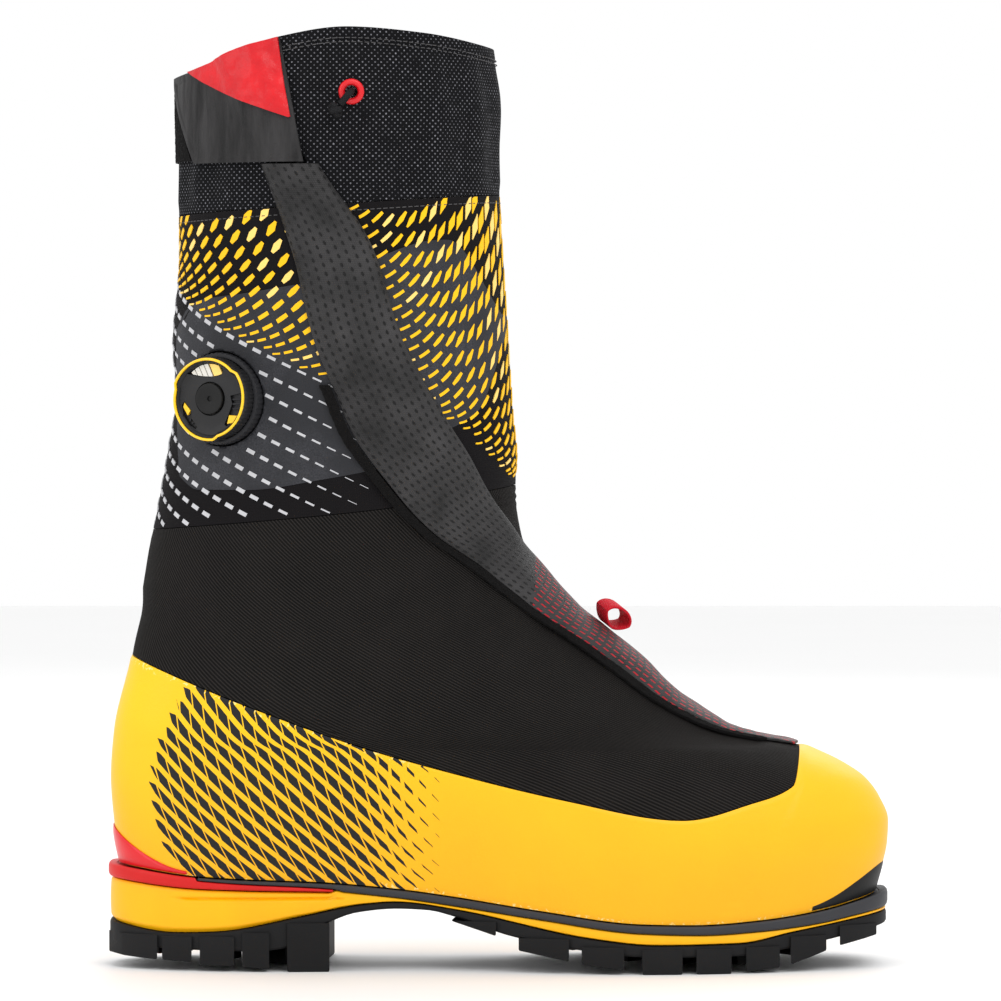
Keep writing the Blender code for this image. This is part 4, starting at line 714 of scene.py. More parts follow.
# Sole
midsole_yellow = moulded("midsole_yellow", (0.92, 0.40, 0.0), (0.95, 0.50, 0.0), 0.42, 800, gloss=0.3)
ledge_red = moulded("ledge_red", (0.50, 0.004, 0.004), (0.68, 0.008, 0.007), 0.45, 600, gloss=0.3)
frame_grey = moulded("frame_grey", (0.020, 0.021, 0.025), (0.040, 0.041, 0.047), 0.55, 900, gloss=0.3)
sole_rubber = moulded(
    "sole_rubber", (0.0035, 0.0035, 0.0038), (0.0110, 0.0110, 0.0120), 0.65, 1100, 0.00010, gloss=0.2)
toe_rubber = moulded("toe_rubber", (0.0030, 0.0030, 0.0030), (0.0085, 0.0085, 0.0085), 0.55, 1100, gloss=0.25)

# Dial
dial_plastic = moulded(
    "dial_plastic", (0.0040, 0.0040, 0.0045), (0.0120, 0.0120, 0.0135), 0.45, 1600, gloss=0.35)
dial_rubber = moulded("dial_rubber", (0.0060, 0.0060, 0.0070), (0.022, 0.022, 0.026), 0.6, 1400, gloss=0.3)
dial_yellow = moulded("dial_yellow", (1.0, 0.56, 0.0), (1.0, 0.64, 0.004), 0.35, 900, coat_weight=0.3)
dial_pale = moulded("dial_pale", (0.62, 0.60, 0.54), (0.80, 0.78, 0.72), 0.4, 900)
steel = moulded("brushed_steel", (0.42, 0.42, 0.43), (0.62, 0.62, 0.63), 0.32, 1200, 0.00002, metallic=1.0)

# Inner boot and shell
lining = moulded(
    "lining_felt", (0.42, 0.42, 0.40), (0.60, 0.60, 0.57), 0.95, 1500, 0.0004, sheen_weight=0.3)
inner_cloth = moulded(
    "inner_cloth", (0.008, 0.008, 0.009), (0.024, 0.024, 0.026), 0.85, 1500, 0.0003, gloss=0.15)
bed_foam = moulded("bed_foam", (0.80, 0.40, 0.01), (0.95, 0.55, 0.03), 0.85, 1300, 0.0003)

# Print
print_yellow = moulded(
    "print_yellow", (0.95, 0.48, 0.0), (0.98, 0.58, 0.0), 0.55, 1500, 0.00003, gloss=0.3)
print_pale = moulded("print_pale", (1.0, 0.62, 0.10), (1.0, 0.72, 0.22), 0.5, 1500, 0.00003)
print_silver = moulded("print_silver", (0.36, 0.36, 0.38), (0.62, 0.62, 0.64), 0.4, 1500, 0.00003)
print("finishes:", len(bpy.data.materials))

# %% [markdown]
# ## The rand
# The rand wraps the whole foot, and over the toes it is one thick cap. It is a wall on the last, fine enough
# to take the cap's raised edge and a soft roll where it meets the ankle cloth.

# %% Rand
TOE_CAP_SEAM = ((0.0889, 0.1226), (0.0736, 0.1212), (0.069, 0.119), (0.043, 0.107), (0.021, 0.089),
                (0.0, 0.080))
HEEL_PRINT_EDGE = ((0.030, -0.122), (0.040, -0.129), (0.049, -0.135), (0.059, -0.139), (0.075, -0.1406),
                   (0.085, -0.1394), (0.101, -0.133), (0.116, -0.125), (0.135, -0.118))
RAND_THICK = 0.0016
cap_seam = smooth(sorted(TOE_CAP_SEAM))
print_edge = smooth(HEEL_PRINT_EDGE)

turn = round_about(340)
low, high = height_on(welt_top, turn, 2 * GAP), height_on(rand_top, turn, -GAP)
z = climb(low, high, 66)
phi = np.broadcast_to(turn, z.shape)
place = skin(z, phi)
ahead = place[..., 0] - cap_seam(z)
cap_lip = 0.00035 * ease((ahead + 0.0004) / 0.0008)
edge_roll = -0.0007 * ease(1 - (high - z) / 0.0012)
base_roll = 0.0005 * ease((z - low) / 0.002)
depth = -cap_lip - edge_roll * 0.6 - base_roll * 0.3 - 0.00018 * ripple(place, 0.035)
fade = 1 - ease((place[..., 0] + 0.062) / 0.045)
lozenge = ease((place[..., 0] - print_edge(z)) / 0.004) * fade * (place[..., 0] < -0.012)
glue_above = (high - z < 0.0022) & (place[..., 0] < -0.035)
glue_below = z - low < 0.0012
glue = 1.0 * glue_above + 1.0 * glue_below
rand = wall("rand_rubber", under(z, phi, depth), under(z, phi, depth + RAND_THICK), yellow_rubber,
            closed=True, marks={"lozenge": lozenge, "glue": glue})
stand_for(rand, "yellow_rubber", "boot", "rand")
print("rand:", len(rand.data.polygons), "faces")

# %% [markdown]
# ## The gaiter's cloth
# Three sewn panels, each open along the zip. The ankle panel has the soft folds that a boot gets where it
# bends; the collar has light upright folds and a turned hem. The print panel has a round hole for the dial
# and the collar one for the eyelet, cut with a boolean.

# %% Gaiter panels
SLIT_HALF = 0.0062
CLOTH_DEPTH, CLOTH_THICK, KNIT_THICK = 0.0004, 0.0012, 0.0014


def zip_stride(z):
    """Distance moved round the skin for each radian, at the zip."""
    tiny = 1e-3
    step = skin(z, zip_angle(z) + tiny) - skin(z, zip_angle(z) - tiny)
    return np.linalg.norm(step, axis=-1) / (2 * tiny)


def panel_grid(low_line, high_line, rows, columns):
    span = np.linspace(0, 1, columns + 1)
    z = np.full((rows + 1, columns + 1), 0.2)
    phi = zip_angle(z) + span * 2 * math.pi
    for _ in range(8):
        z = climb(height_on(low_line, phi[0], GAP / 2), height_on(high_line, phi[-1], -GAP / 2), rows)
        half = SLIT_HALF / zip_stride(z)
        phi = zip_angle(z) + half + span * (2 * math.pi - 2 * half)
    return z, phi


def cloth_map(z, phi):
    """Metres round and up that don't bend with the zip, so that a weave stays level."""
    return np.stack([phi * 0.060, z], axis=-1)


def cloth_wall(name, z, phi, depth, thick, look):
    """A wall on the last with the level map."""
    return wall(name, under(z, phi, depth), under(z, phi, depth + thick), look, maps=cloth_map(z, phi))


def ankle_folds(place):
    """Soft creases round the ankle's front and back, deepest at the bend."""
    x, z = place[..., 0], place[..., 2]
    wave = np.sin((z + x * 0.42) / 0.0098 + 1.5 * ripple(place, 0.030, 3.0))
    bend = np.exp(-(((z - 0.150) / 0.026) ** 2))
    return 0.0011 * bend * wave + 0.0006 * ripple(place, 0.020, 7.0)


def shin_ribs(place):
    """Fine level ribs in front, just above the ankle."""
    x, z = place[..., 0], place[..., 2]
    return 0.00035 * np.sin(z / 0.00042) * ease((x + 0.012) / 0.012) * ease((z - 0.180) / 0.006)


z, phi = panel_grid(rand_top, print_bottom, 110, 230)
place = skin(z, phi)
edge = np.minimum(1, (np.minimum(z - z[0], z[-1] - z)) / 0.004)
depth = CLOTH_DEPTH + ease(edge) * np.clip(ankle_folds(place), -0.0004, 0.0011) + shin_ribs(place) * edge
ankle = cloth_wall("ankle_cloth", z, phi, depth, CLOTH_THICK, twill)
stand_for(ankle, "black_fabric", "boot", "lower_gaiter")

z, phi = panel_grid(print_bottom, cuff_bottom, 70, 200)
place = skin(z, phi)
edge = ease(np.minimum(z - z[0], z[-1] - z) / 0.006)
depth = CLOTH_DEPTH + edge * (0.00022 + 0.00018 * ripple(place, 0.045, 2.0))
shin = cloth_wall("print_cloth", z, phi, depth, CLOTH_THICK, weave)

z, phi = panel_grid(cuff_bottom, collar_top, 56, 220)
place = skin(z, phi)
hem = ease((z - z[-1:] + 0.0050) / 0.0012)
loose = ease((z[-1:] - z) / 0.02) * ease((z - z[0]) / 0.006)
folds = 0.0007 * np.sin(phi * 15 + 2.5 * ripple(place, 0.05, 5.0)) * loose
hem_line = 0.00025 * np.exp(-(((z - z[-1:] + 0.0052) / 0.0006) ** 2))
depth = CLOTH_DEPTH + folds - 0.0003 * hem + hem_line
collar = cloth_wall("collar_knit", z, phi, depth, KNIT_THICK + 0.0004 * hem, knit)

# %% [markdown]
# A boolean needs a closed cutter, here a plain cylinder along the dial's or the eyelet's axis.

# %% Holes for the dial and the eyelet
DIAL_FOOT = Vector((-0.108663, -0.031644, 0.228529))
DIAL_AXIS = Vector((-0.469472, -0.882948, 0.0)).normalized()
EYELET_PLACE = Vector((-0.0582, -0.05105, 0.35))
EYELET_AXIS = Vector((0.078917, -0.996877, 0.002861)).normalized()
DIAL_HOLE, EYELET_HOLE = 0.0191, 0.0035


def axis_frame(axis):
    side = axis.cross(Vector((0, 0, 1))).normalized()
    return side, side.cross(axis)


def turned(name, profile, centre, axis, look, sides=96, swell=None, sharp=32):
    """A solid turned round an axis; profile is (radius, distance along it); swell changes the radius."""
    side, up = axis_frame(axis)
    points, faces, first = [], [], []
    for radius, along in profile:
        first.append(len(points))
        for i in range(sides if radius > 1e-7 else 1):
            turn = 2 * math.pi * i / sides
            r = radius + (swell(turn, radius, along) if swell and radius > 1e-7 else 0)
            points.append(centre + axis * along + r * (side * math.cos(turn) + up * math.sin(turn)))
    for k in range(len(profile)):
        m = (k + 1) % len(profile)
        a, b = first[k], first[m]
        pole_a, pole_b = profile[k][0] <= 1e-7, profile[m][0] <= 1e-7
        if pole_a and pole_b:
            continue
        for i in range(sides):
            j = (i + 1) % sides
            if pole_a:
                faces.append((a, b + i, b + j))
            elif pole_b:
                faces.append((a + i, b, a + j))
            else:
                faces.append((a + i, a + j, b + j, b + i))
    return finish_mesh(name, points, faces, look, sharp)


def cut_hole(obj, radius, centre, axis):
    """A round hole from 12 mm outside the place to 10 mm inside it."""
    outline = ((0, -0.010), (radius, -0.010), (radius, 0.012), (0, 0.012))
    combine(obj, turned("cutter", outline, centre, axis, weave, 64))


cut_hole(shin, DIAL_HOLE, DIAL_FOOT, DIAL_AXIS)
cut_hole(collar, EYELET_HOLE, EYELET_PLACE, EYELET_AXIS)
stand_for(shin, "print_fabric", "boot", "print_gaiter")
stand_for(collar, "knit_fabric", "boot", "cuff")
print("collar faces:", len(collar.data.polygons))

# %% [markdown]
# ## Bonded film
# Thin charcoal film is bonded on the print panel behind and in front of the flap. Each patch is a sheet
# stretched between its own edge lines, which are given as places along the boot at each height.

# %% Bonded film patches
FILM_DEPTH, FILM_THICK = 0.00034, 0.00020


def film_patch(name, left, right, top, bottom):
    """A patch of film on the outer side between a left and a right line, each a smooth curve."""
    rows, columns = 50, 60
    s = np.linspace(0, 1, columns)[None, :]
    t = np.linspace(0, 1, rows)[:, None]
    z = np.full((rows, columns), 0.25)
    for _ in range(10):
        x = left(z) + (right(z) - left(z)) * s
        z = bottom(x) + (top(x) - bottom(x)) * t
    return cloth_wall(name, z, angle_at(z, x), np.full(z.shape, FILM_DEPTH), FILM_THICK, film)


def beside_flap(line, offset):
    """The flap's edge as a place along the boot for each height."""
    return lambda z: skin(z, line(z) + offset)[..., 0]


rear_film = film_patch(
    "bonded_film_rear",
    smooth(((0.190, -0.1262), (0.200, -0.1285), (0.235, -0.1300), (0.256, -0.1298), (0.268, -0.1226))),
    beside_flap(flap_rear, 0.06),
    smooth(((-0.130, 0.2560), (-0.1225, 0.2672), (-0.100, 0.2706), (-0.078, 0.2740), (-0.040, 0.2780))),
    smooth(((-0.130, 0.1990), (-0.1206, 0.1922), (-0.1000, 0.1922), (-0.0700, 0.1964), (-0.0300, 0.2040))))
cut_hole(rear_film, DIAL_HOLE, DIAL_FOOT, DIAL_AXIS)
stand_for(rear_film, "print_fabric", "boot")
front_film = film_patch(
    "bonded_film_front",
    beside_flap(flap_front, -0.06),
    smooth(((0.190, -0.0060), (0.216, -0.0045), (0.240, 0.0020), (0.256, 0.0034), (0.262, 0.0034))),
    smooth(((-0.060, 0.2800), (-0.048, 0.2845), (-0.026, 0.2915), (-0.020, 0.2918), (0.002, 0.2620))),
    smooth(((-0.060, 0.2080), (-0.034, 0.2130), (-0.024, 0.2150), (-0.008, 0.2235), (0.004, 0.2560))))
stand_for(front_film, "print_fabric", "boot")

# %% [markdown]
# ## Printed dashes
# The shin panel carries a print of short dashes that follow curved flow lines: small and level low down,
# tall and steep near the collar. Each family of lines starts on a curve and bends upwards as it goes round
# the boot. Every dash is a thin strip laid on the panel along its line, so its edge stays sharp at any
# distance. Round the boot, places are counted in metres from the middle of the outer side.

# %% Rulers round the shin
RULER_ANGLES = np.linspace(-1.75 * math.pi, 0.75 * math.pi, 1200)
ruler_points = skin(np.full(len(RULER_ANGLES), 0.25), RULER_ANGLES)
RULER = np.concatenate([[0], np.cumsum(np.linalg.norm(np.diff(ruler_points, axis=0), axis=1))])
RULER = RULER - np.interp(-math.pi / 2, RULER_ANGLES, RULER)
FRONT_PLACE = float(np.interp(0.0, RULER_ANGLES, RULER))


DASH_DEPTH, DASH_THICK = 0.00026, 0.00055


def lay_strips(name, strips, look):
    """Thin strips on the panel; each has its middle line, as (ruler place, height), and its half widths."""
    top, faces = [], []
    for centre, half in strips:
        along = np.gradient(centre, axis=0)
        along = along / np.linalg.norm(along, axis=1, keepdims=True)
        over = np.stack([-along[:, 1], along[:, 0]], axis=1) * half[:, None]
        first = len(top)
        for spot, reach in zip(centre, over):
            top.extend([spot + reach, spot - reach])
        for a in range(first, len(top) - 2, 2):
            faces.append((a, a + 1, a + 3, a + 2))
    flat = np.array(top)
    phi = np.interp(flat[:, 0], RULER, RULER_ANGLES)
    seam_high = height_on(cuff_bottom, phi, -0.0004)
    seam_low = height_on(print_bottom, phi, 0.0004)
    z = np.clip(flat[:, 1], seam_low, seam_high)
    outer, inner = under(z, phi, DASH_DEPTH), under(z, phi, DASH_DEPTH + DASH_THICK)
    side = len(outer)
    solid = []
    edges = {}
    for face in faces:
        solid.append(face)
        solid.append(tuple(side + i for i in reversed(face)))
        for edge in zip(face, face[1:] + face[:1]):
            edges[edge] = True
    for a, b in edges:
        if (b, a) not in edges:
            solid.append((b, a, side + a, side + b))
    dashes = finish_mesh(name, np.concatenate([outer, inner]), solid, look, 50)
    return stand_for(dashes, "print_fabric", "boot")


def flow_strips(starts, bend, length, width, reach, shape, keep):
    """Dashes along curved lines; bend is how far a line runs before it climbs as steeply as it runs."""
    strips = []
    for k, (w0, z0) in enumerate(starts):
        run = 0.5 * (k % 2) * 0.004
        while run < reach:
            long = length[0] + length[1] * run
            slope = run / bend
            step = long / math.hypot(1, slope)
            t = np.linspace(0, 1, 7)
            s = run + step * t
            centre = np.stack([w0 + s, z0 + s * s / (2 * bend)], axis=1)
            half = (width[0] + width[1] * run) / 2 * shape(t, slope)
            if keep(centre[3]):
                strips.append((centre, half))
            run += step * 1.5
    return strips


def lozenge_shape(t, slope):
    """Blunt dashes where lines lie flat, long diamonds where they stand up."""
    point = min(1.0, max(0.0, (slope - 0.5) / 1.2)) * 0.97
    return np.maximum(0.08, 1 - point * np.abs(2 * t - 1))


START_RUN_ON = 0.110


def start_places(corners, spacing):
    """Starts of flow lines, evenly spaced along a line of (place along the boot or ruler place, height)."""
    places = np.array([(np.interp(float(angle_at(z, x)), RULER_ANGLES, RULER), z) for x, z in corners])
    ahead = (places[0] - places[1]) / np.linalg.norm(places[0] - places[1])
    first = places[0] + ahead * START_RUN_ON
    places = np.concatenate([[first], places])
    run = np.concatenate([[0], np.cumsum(np.linalg.norm(np.diff(places, axis=0), axis=1))])
    spots = np.arange(0, run[-1], spacing)
    return np.stack([np.interp(spots, run, places[:, 0]), np.interp(spots, run, places[:, 1])], axis=1)


def clear_of_zip(spot):
    phi = float(np.interp(spot[0], RULER, RULER_ANGLES))
    for turn in (phi, phi + 2 * math.pi, phi - 2 * math.pi):
        if abs(turn - float(zip_angle(spot[1]))) * 0.055 < 0.0095:
            return False
    if spot[1] > float(height_on(cuff_bottom, np.array(phi))) - 0.001:
        return False
    if spot[1] < float(height_on(print_bottom, np.array(phi))) + 0.001:
        return False
    away = Vector(skin(spot[1], phi)) - DIAL_FOOT
    return (away - DIAL_AXIS * away.dot(DIAL_AXIS)).length > 0.0215 or away.dot(DIAL_AXIS) < -0.01


REAR_STARTS = ((-0.1277, 0.2702), (-0.1155, 0.2603), (-0.1065, 0.2541), (-0.0985, 0.2504), (-0.0862, 0.2447),
               (-0.0683, 0.2357))
FRONT_STARTS = ((-0.0372, 0.2409), (-0.0334, 0.2329), (-0.0287, 0.2258), (-0.0212, 0.2211), (-0.0118, 0.2155),
                (-0.0080, 0.2093), (-0.0033, 0.2060), (0.0024, 0.1994), (0.0062, 0.1966))


def flap_middle_place(z):
    return float(np.interp(float(zip_angle(z)), RULER_ANGLES, RULER))


def rear_only(spot):
    return spot[0] < flap_middle_place(spot[1]) and clear_of_zip(spot)


def front_only(spot):
    return flap_middle_place(spot[1]) < spot[0] < FRONT_PLACE + 0.0005 and clear_of_zip(spot)


rear_strips = flow_strips(start_places(REAR_STARTS, 0.0060), 0.030, (0.0032, 0.085), (0.0007, 0.066), 0.085,
                          lozenge_shape, rear_only)
front_strips = flow_strips(start_places(FRONT_STARTS, 0.0043), 0.016, (0.0034, 0.19), (0.0007, 0.070), 0.075,
                           lozenge_shape, front_only)
medial_strips = [(c * [-1, 1] + [2 * FRONT_PLACE, 0], h) for c, h in front_strips
                 if clear_of_zip(np.array([2 * FRONT_PLACE - c[3][0], c[3][1]]))]
yellow_strips = rear_strips + front_strips + medial_strips
pale_strips = [s for k, s in enumerate(yellow_strips) if math.sin(k * 12.9898) > 0.86]
yellow_strips = [s for k, s in enumerate(yellow_strips) if math.sin(k * 12.9898) <= 0.86]
lay_strips("print_dashes", yellow_strips, print_yellow)
lay_strips("print_dashes_pale", pale_strips, print_pale)

silver_strips = []
SILVER_SLOPE, SILVER_PITCH = -0.48, 0.0060
edge_place = float(np.interp(float(angle_at(0.21, -0.068)), RULER_ANGLES, RULER))
for row in range(13):
    height = 0.2340 - 0.0082 * row
    for step in range(-50, 3):
        w = edge_place + step * SILVER_PITCH + (row % 3) * 0.002
        spot_x = float(skin(0.22, np.interp(w, RULER, RULER_ANGLES))[0])
        taper = np.clip((-0.050 - spot_x) / 0.050, 0.15, 1.0) * min(1, (step + 52) / 16)
        t = np.linspace(0, 1, 4)
        centre = np.stack([w + 0.0034 * t, height + SILVER_SLOPE * (w + 0.0034 * t - edge_place)], axis=1)
        if rear_only(centre[2]) and centre[2][1] < 0.300 and w < flap_middle_place(centre[2][1]) - 0.018:
            silver_strips.append((centre, np.full(4, 0.00078 * taper)))
lay_strips("print_dashes_silver", silver_strips, print_silver)
print("dashes:", len(yellow_strips), len(pale_strips), len(silver_strips))

# %% [markdown]
# ## Flap
# A soft band that covers the zip from the collar to the toes. It is a wall that stands off the last in its
# middle, where the slider runs, and lies flat at its edges; a fine unevenness keeps it from looking moulded.

# %% Flap and its fuzzy band
FILM_SHEET = 0.0010


def flap_lift(z, u):
    crown = 0.0012 + 0.0020 * ease((z - 0.245) / 0.035)
    return GAP + crown * ease((z - 0.086) / 0.020) * (1 - (2 * u - 1) ** 4)


rows = climb(0.0888, 0.3215, 240)[:, None]
share = np.linspace(0, 1, 34)[None, :]
z = np.broadcast_to(rows, (len(rows), 34))
phi = flap_rear(rows) + (flap_front(rows) - flap_rear(rows)) * share
place = skin(z, phi)
broad = 0.0006 * ripple(place * [1, 1, 0.6], 0.013, 11.0)
narrow = 0.00045 * ripple(place * [1, 1, 0.35], 0.008, 4.0) * ease((0.16 - z) / 0.05)
soft = broad + narrow
thin = 0.00035 * (1 - ease(np.minimum(share, 1 - share) / 0.05))
outer = under(z, phi, -flap_lift(z, share) - FILM_SHEET - np.clip(soft, -0.0006, 0.0005) + thin)
inner = under(z, phi, -flap_lift(z, share))
maps = grid_map(outer)
maps[..., 1] = maps[:, 17:18, 1]
flap = wall("zip_flap_film", outer, inner, perforated, maps=maps,
            marks={"instep": ease((place[..., 0] - 0.010) / 0.006)})
stand_for(flap, "charcoal_fabric", "boot", "zip_flap")

rows = climb(0.0905, 0.234, 260)
width = 0.095 * np.linspace(1.0, 0.7, len(rows))[:, None] * (0.93 + 0.07 * ripple(
    np.stack([rows * 0, rows * 0, rows], axis=-1), 0.002)[:, None])
phi = (flap_rear(rows) - 0.012)[:, None] - width * np.linspace(1, 0, 9)[None, :]
z = np.broadcast_to(rows[:, None], phi.shape)
tufts = 0.00045 * ripple(skin(z, phi), 0.0009, 9.0)
band = wall("fuzzy_flap_band", under(z, phi, -0.0015 + tufts), under(z, phi, -GAP), fuzz)
stand_for(band, "black_fabric", "boot", "flap_strip")

# %% [markdown]
# ## Tab
# The flap's top end is a wide tab that closes over the collar and hinges on its front edge. Its film is
# creased, its border is turned under, and a glossy red corner is sewn on for the fingers.

# %% Tab and red corner
def tab_front(z):
    return angle_at(z, -0.0765 - 0.0095 * (z - 0.3225) / 0.0475)


def tab_grid(rows, columns):
    u = np.linspace(0, 1, columns)[None, :]
    v = np.linspace(0, 1, rows)[:, None]
    low = 0.3215 + 0.0008
    z = low + (0.360 - low) * v * np.ones((1, columns))
    for _ in range(8):
        phi = tab_rear(z) + (tab_front(z) - tab_rear(z)) * u
        z = low + (height_on(collar_top, phi[-1], -0.0008) - low) * v
    return z, phi


def tab_bulge(z, phi):
    return 0.0032 * np.exp(-(((phi - zip_angle(z)) / math.radians(11)) ** 4))


z, phi = tab_grid(70, 90)
place = skin(z, phi)
crease = 0.0006 * ripple(place * [1, 1, 0.3], 0.0045, 13.0) + 0.0005 * ripple(place, 0.016, 1.0)
border = np.minimum(np.minimum(phi - phi[:, :1], phi[:, -1:] - phi) * 0.05, np.minimum(z - z[:1], z[-1:] - z))
hem = 0.00030 * ease(1 - (border - 0.0022) / 0.0006)
lift = 0.0007 + tab_bulge(z, phi)
relief = np.clip(crease, -0.0006, 0.0005) * ease(border / 0.003) + hem
tab = wall("flap_tab_film", under(z, phi, -lift - FILM_SHEET - relief), under(z, phi, -lift), tab_film)
stand_for(tab, "charcoal_fabric", "flap_tab", "flap_tab")

tip_z = 0.3395
tip_phi = float(tab_front(tip_z)) - 0.02
first = 27
t = np.linspace(0, 0.985, 46)[:, None]
grid_z = z[-1, first:][None, :] + (tip_z - z[-1, first:][None, :]) * t
grid_phi = phi[-1, first:][None, :] - 0.004 + (tip_phi - phi[-1, first:][None, :] + 0.004) * t
lift = 0.0007 + tab_bulge(grid_z, grid_phi) + FILM_SHEET + 2 * GAP
place = skin(grid_z, grid_phi)
crumple = 0.0005 * ripple(place, 0.007, 21.0) + 0.00035 * ripple(place, 0.003, 6.0)
outer = under(grid_z, grid_phi, -lift - FILM_SHEET - crumple)
corner = wall("red_corner", outer[::-1], under(grid_z, grid_phi, -lift)[::-1], red_film)
stand_for(corner, "red_fabric", "flap_tab", "pull_patch")

u = np.linspace(0, 1, 60)[None, :]
z = 0.3235 + 0.0305 * np.linspace(0, 1, 60)[:, None] * np.ones((1, 60))
PATCH_REAR = math.radians(-205)
phi = PATCH_REAR + (tab_rear(z) - 0.045 - PATCH_REAR) * u
tufts = 0.0003 * ripple(skin(z, phi), 0.0012, 9.0)
patch = wall("fuzzy_rear_patch", under(z, phi, -0.0010 + tufts), under(z, phi, -GAP), fuzz)
stand_for(patch, "black_fabric", "boot", "rear_patch")

# %% [markdown]
# ## Zip
# A coil zip lies under the flap. Its teeth are a row of small links, so Geometry Nodes place them: the zip's
# line is resampled at the teeth's pitch, one link stands at each point along it, and the links become real
# faces at the end.

# %% Links along a line
def new_tree(name, sizes):
    tree = bpy.data.node_groups.new(name, "GeometryNodeTree")
    tree.interface.new_socket("Geometry", in_out="INPUT", socket_type="NodeSocketGeometry")
    for label, kind in sizes:
        tree.interface.new_socket(label, in_out="INPUT", socket_type=kind)
    tree.interface.new_socket("Geometry", in_out="OUTPUT", socket_type="NodeSocketGeometry")
    return tree


links_tree = new_tree("links_along_a_line", (("Pitch", "NodeSocketFloat"), ("Link", "NodeSocketObject"),
                                             ("Finish", "NodeSocketMaterial")))
nodes, link = links_tree.nodes, links_tree.links.new
given, result = nodes.new("NodeGroupInput"), nodes.new("NodeGroupOutput")
to_curve, resample = nodes.new("GeometryNodeMeshToCurve"), nodes.new("GeometryNodeResampleCurve")
resample.mode = "LENGTH"
place_links, info = nodes.new("GeometryNodeInstanceOnPoints"), nodes.new("GeometryNodeObjectInfo")
tangent, normal = nodes.new("GeometryNodeInputTangent"), nodes.new("GeometryNodeInputNamedAttribute")
normal.data_type = "FLOAT_VECTOR"
normal.inputs["Name"].default_value = "outward"
turn_z = nodes.new("FunctionNodeAlignRotationToVector")
turn_z.axis = "Z"
turn_x = nodes.new("FunctionNodeAlignRotationToVector")
turn_x.axis, turn_x.pivot_axis = "X", "Z"
realize, dress = nodes.new("GeometryNodeRealizeInstances"), nodes.new("GeometryNodeSetMaterial")
link(given.outputs["Geometry"], to_curve.inputs[0])
link(to_curve.outputs[0], resample.inputs["Curve"])
link(given.outputs["Pitch"], resample.inputs["Length"])
link(resample.outputs[0], place_links.inputs["Points"])
link(given.outputs["Link"], info.inputs["Object"])
link(info.outputs["Geometry"], place_links.inputs["Instance"])
link(normal.outputs[0], turn_z.inputs["Vector"])
link(turn_z.outputs[0], turn_x.inputs["Rotation"])
link(tangent.outputs[0], turn_x.inputs["Vector"])
link(turn_x.outputs[0], place_links.inputs["Rotation"])
link(place_links.outputs[0], realize.inputs[0])
link(realize.outputs[0], dress.inputs["Geometry"])
link(given.outputs["Finish"], dress.inputs["Material"])
link(dress.outputs[0], result.inputs[0])


def block_mesh(name, half, chamfer=0.3):
    """A small block with sloped ends, centred on its place; half is its half sizes."""
    hx, hy, hz = half
    points = [(x * hx * (1 - chamfer * (z > 0)), y * hy * (1 - chamfer * (z > 0)), z * hz)
              for z in (-1, 1) for x, y in ((-1, -1), (1, -1), (1, 1), (-1, 1))]
    faces = [(3, 2, 1, 0), (4, 5, 6, 7), (0, 1, 5, 4), (1, 2, 6, 5), (2, 3, 7, 6), (3, 0, 4, 7)]
    mesh = bpy.data.meshes.new(name)
    mesh.from_pydata(points, [], faces)
    return bpy.data.objects.new(name, mesh)


def links_on(name, points, normals, pitch, half, look):
    """Small blocks along a line of points, standing on its normals, as one plain mesh."""
    mesh = bpy.data.meshes.new(name)
    mesh.from_pydata([tuple(p) for p in points], [(i, i + 1) for i in range(len(points) - 1)], [])
    mesh.attributes.new("outward", "FLOAT_VECTOR", "POINT").data.foreach_set("vector", np.ravel(normals))
    obj = bpy.data.objects.new(name, mesh)
    scene.collection.objects.link(obj)
    pattern = block_mesh(name + "_pattern", half)
    scene.collection.objects.link(pattern)
    modifier = obj.modifiers.new("links", "NODES")
    modifier.node_group = links_tree
    sockets = {s.name: s.identifier for s in links_tree.interface.items_tree if s.in_out == "INPUT"}
    modifier[sockets["Pitch"]] = pitch
    modifier[sockets["Link"]] = pattern
    modifier[sockets["Finish"]] = look.material
    apply_modifiers(obj)
    obj.data.materials.clear()
    obj.data.materials.append(look.material)
    bpy.data.objects.remove(pattern)
    return obj


heights = climb(0.1205, 0.3545, 260)
teeth = []
for side in (-1, 1):
    phi = zip_angle(heights) + side * 0.00155 / zip_stride(heights)
    teeth.append(links_on(f"zip_teeth_{'rear' if side < 0 else 'front'}", under(heights, phi, 0.0014),
                          outward(heights, phi), 0.0013, (0.00045, 0.0014, 0.0005), toe_rubber))
for obj in teeth:
    stand_for(obj, "black_plastic", "boot", "zip_chain")
print("teeth faces:", len(teeth[0].data.polygons))

# %% [markdown]
# ## Eyelet, drawcord and knot
# The collar is drawn tight with a thin cord that leaves through a moulded eyelet and ends in a knot. The cord
# is a braided tube on a smooth route: out of the eyelet, then straight down under its own weight.

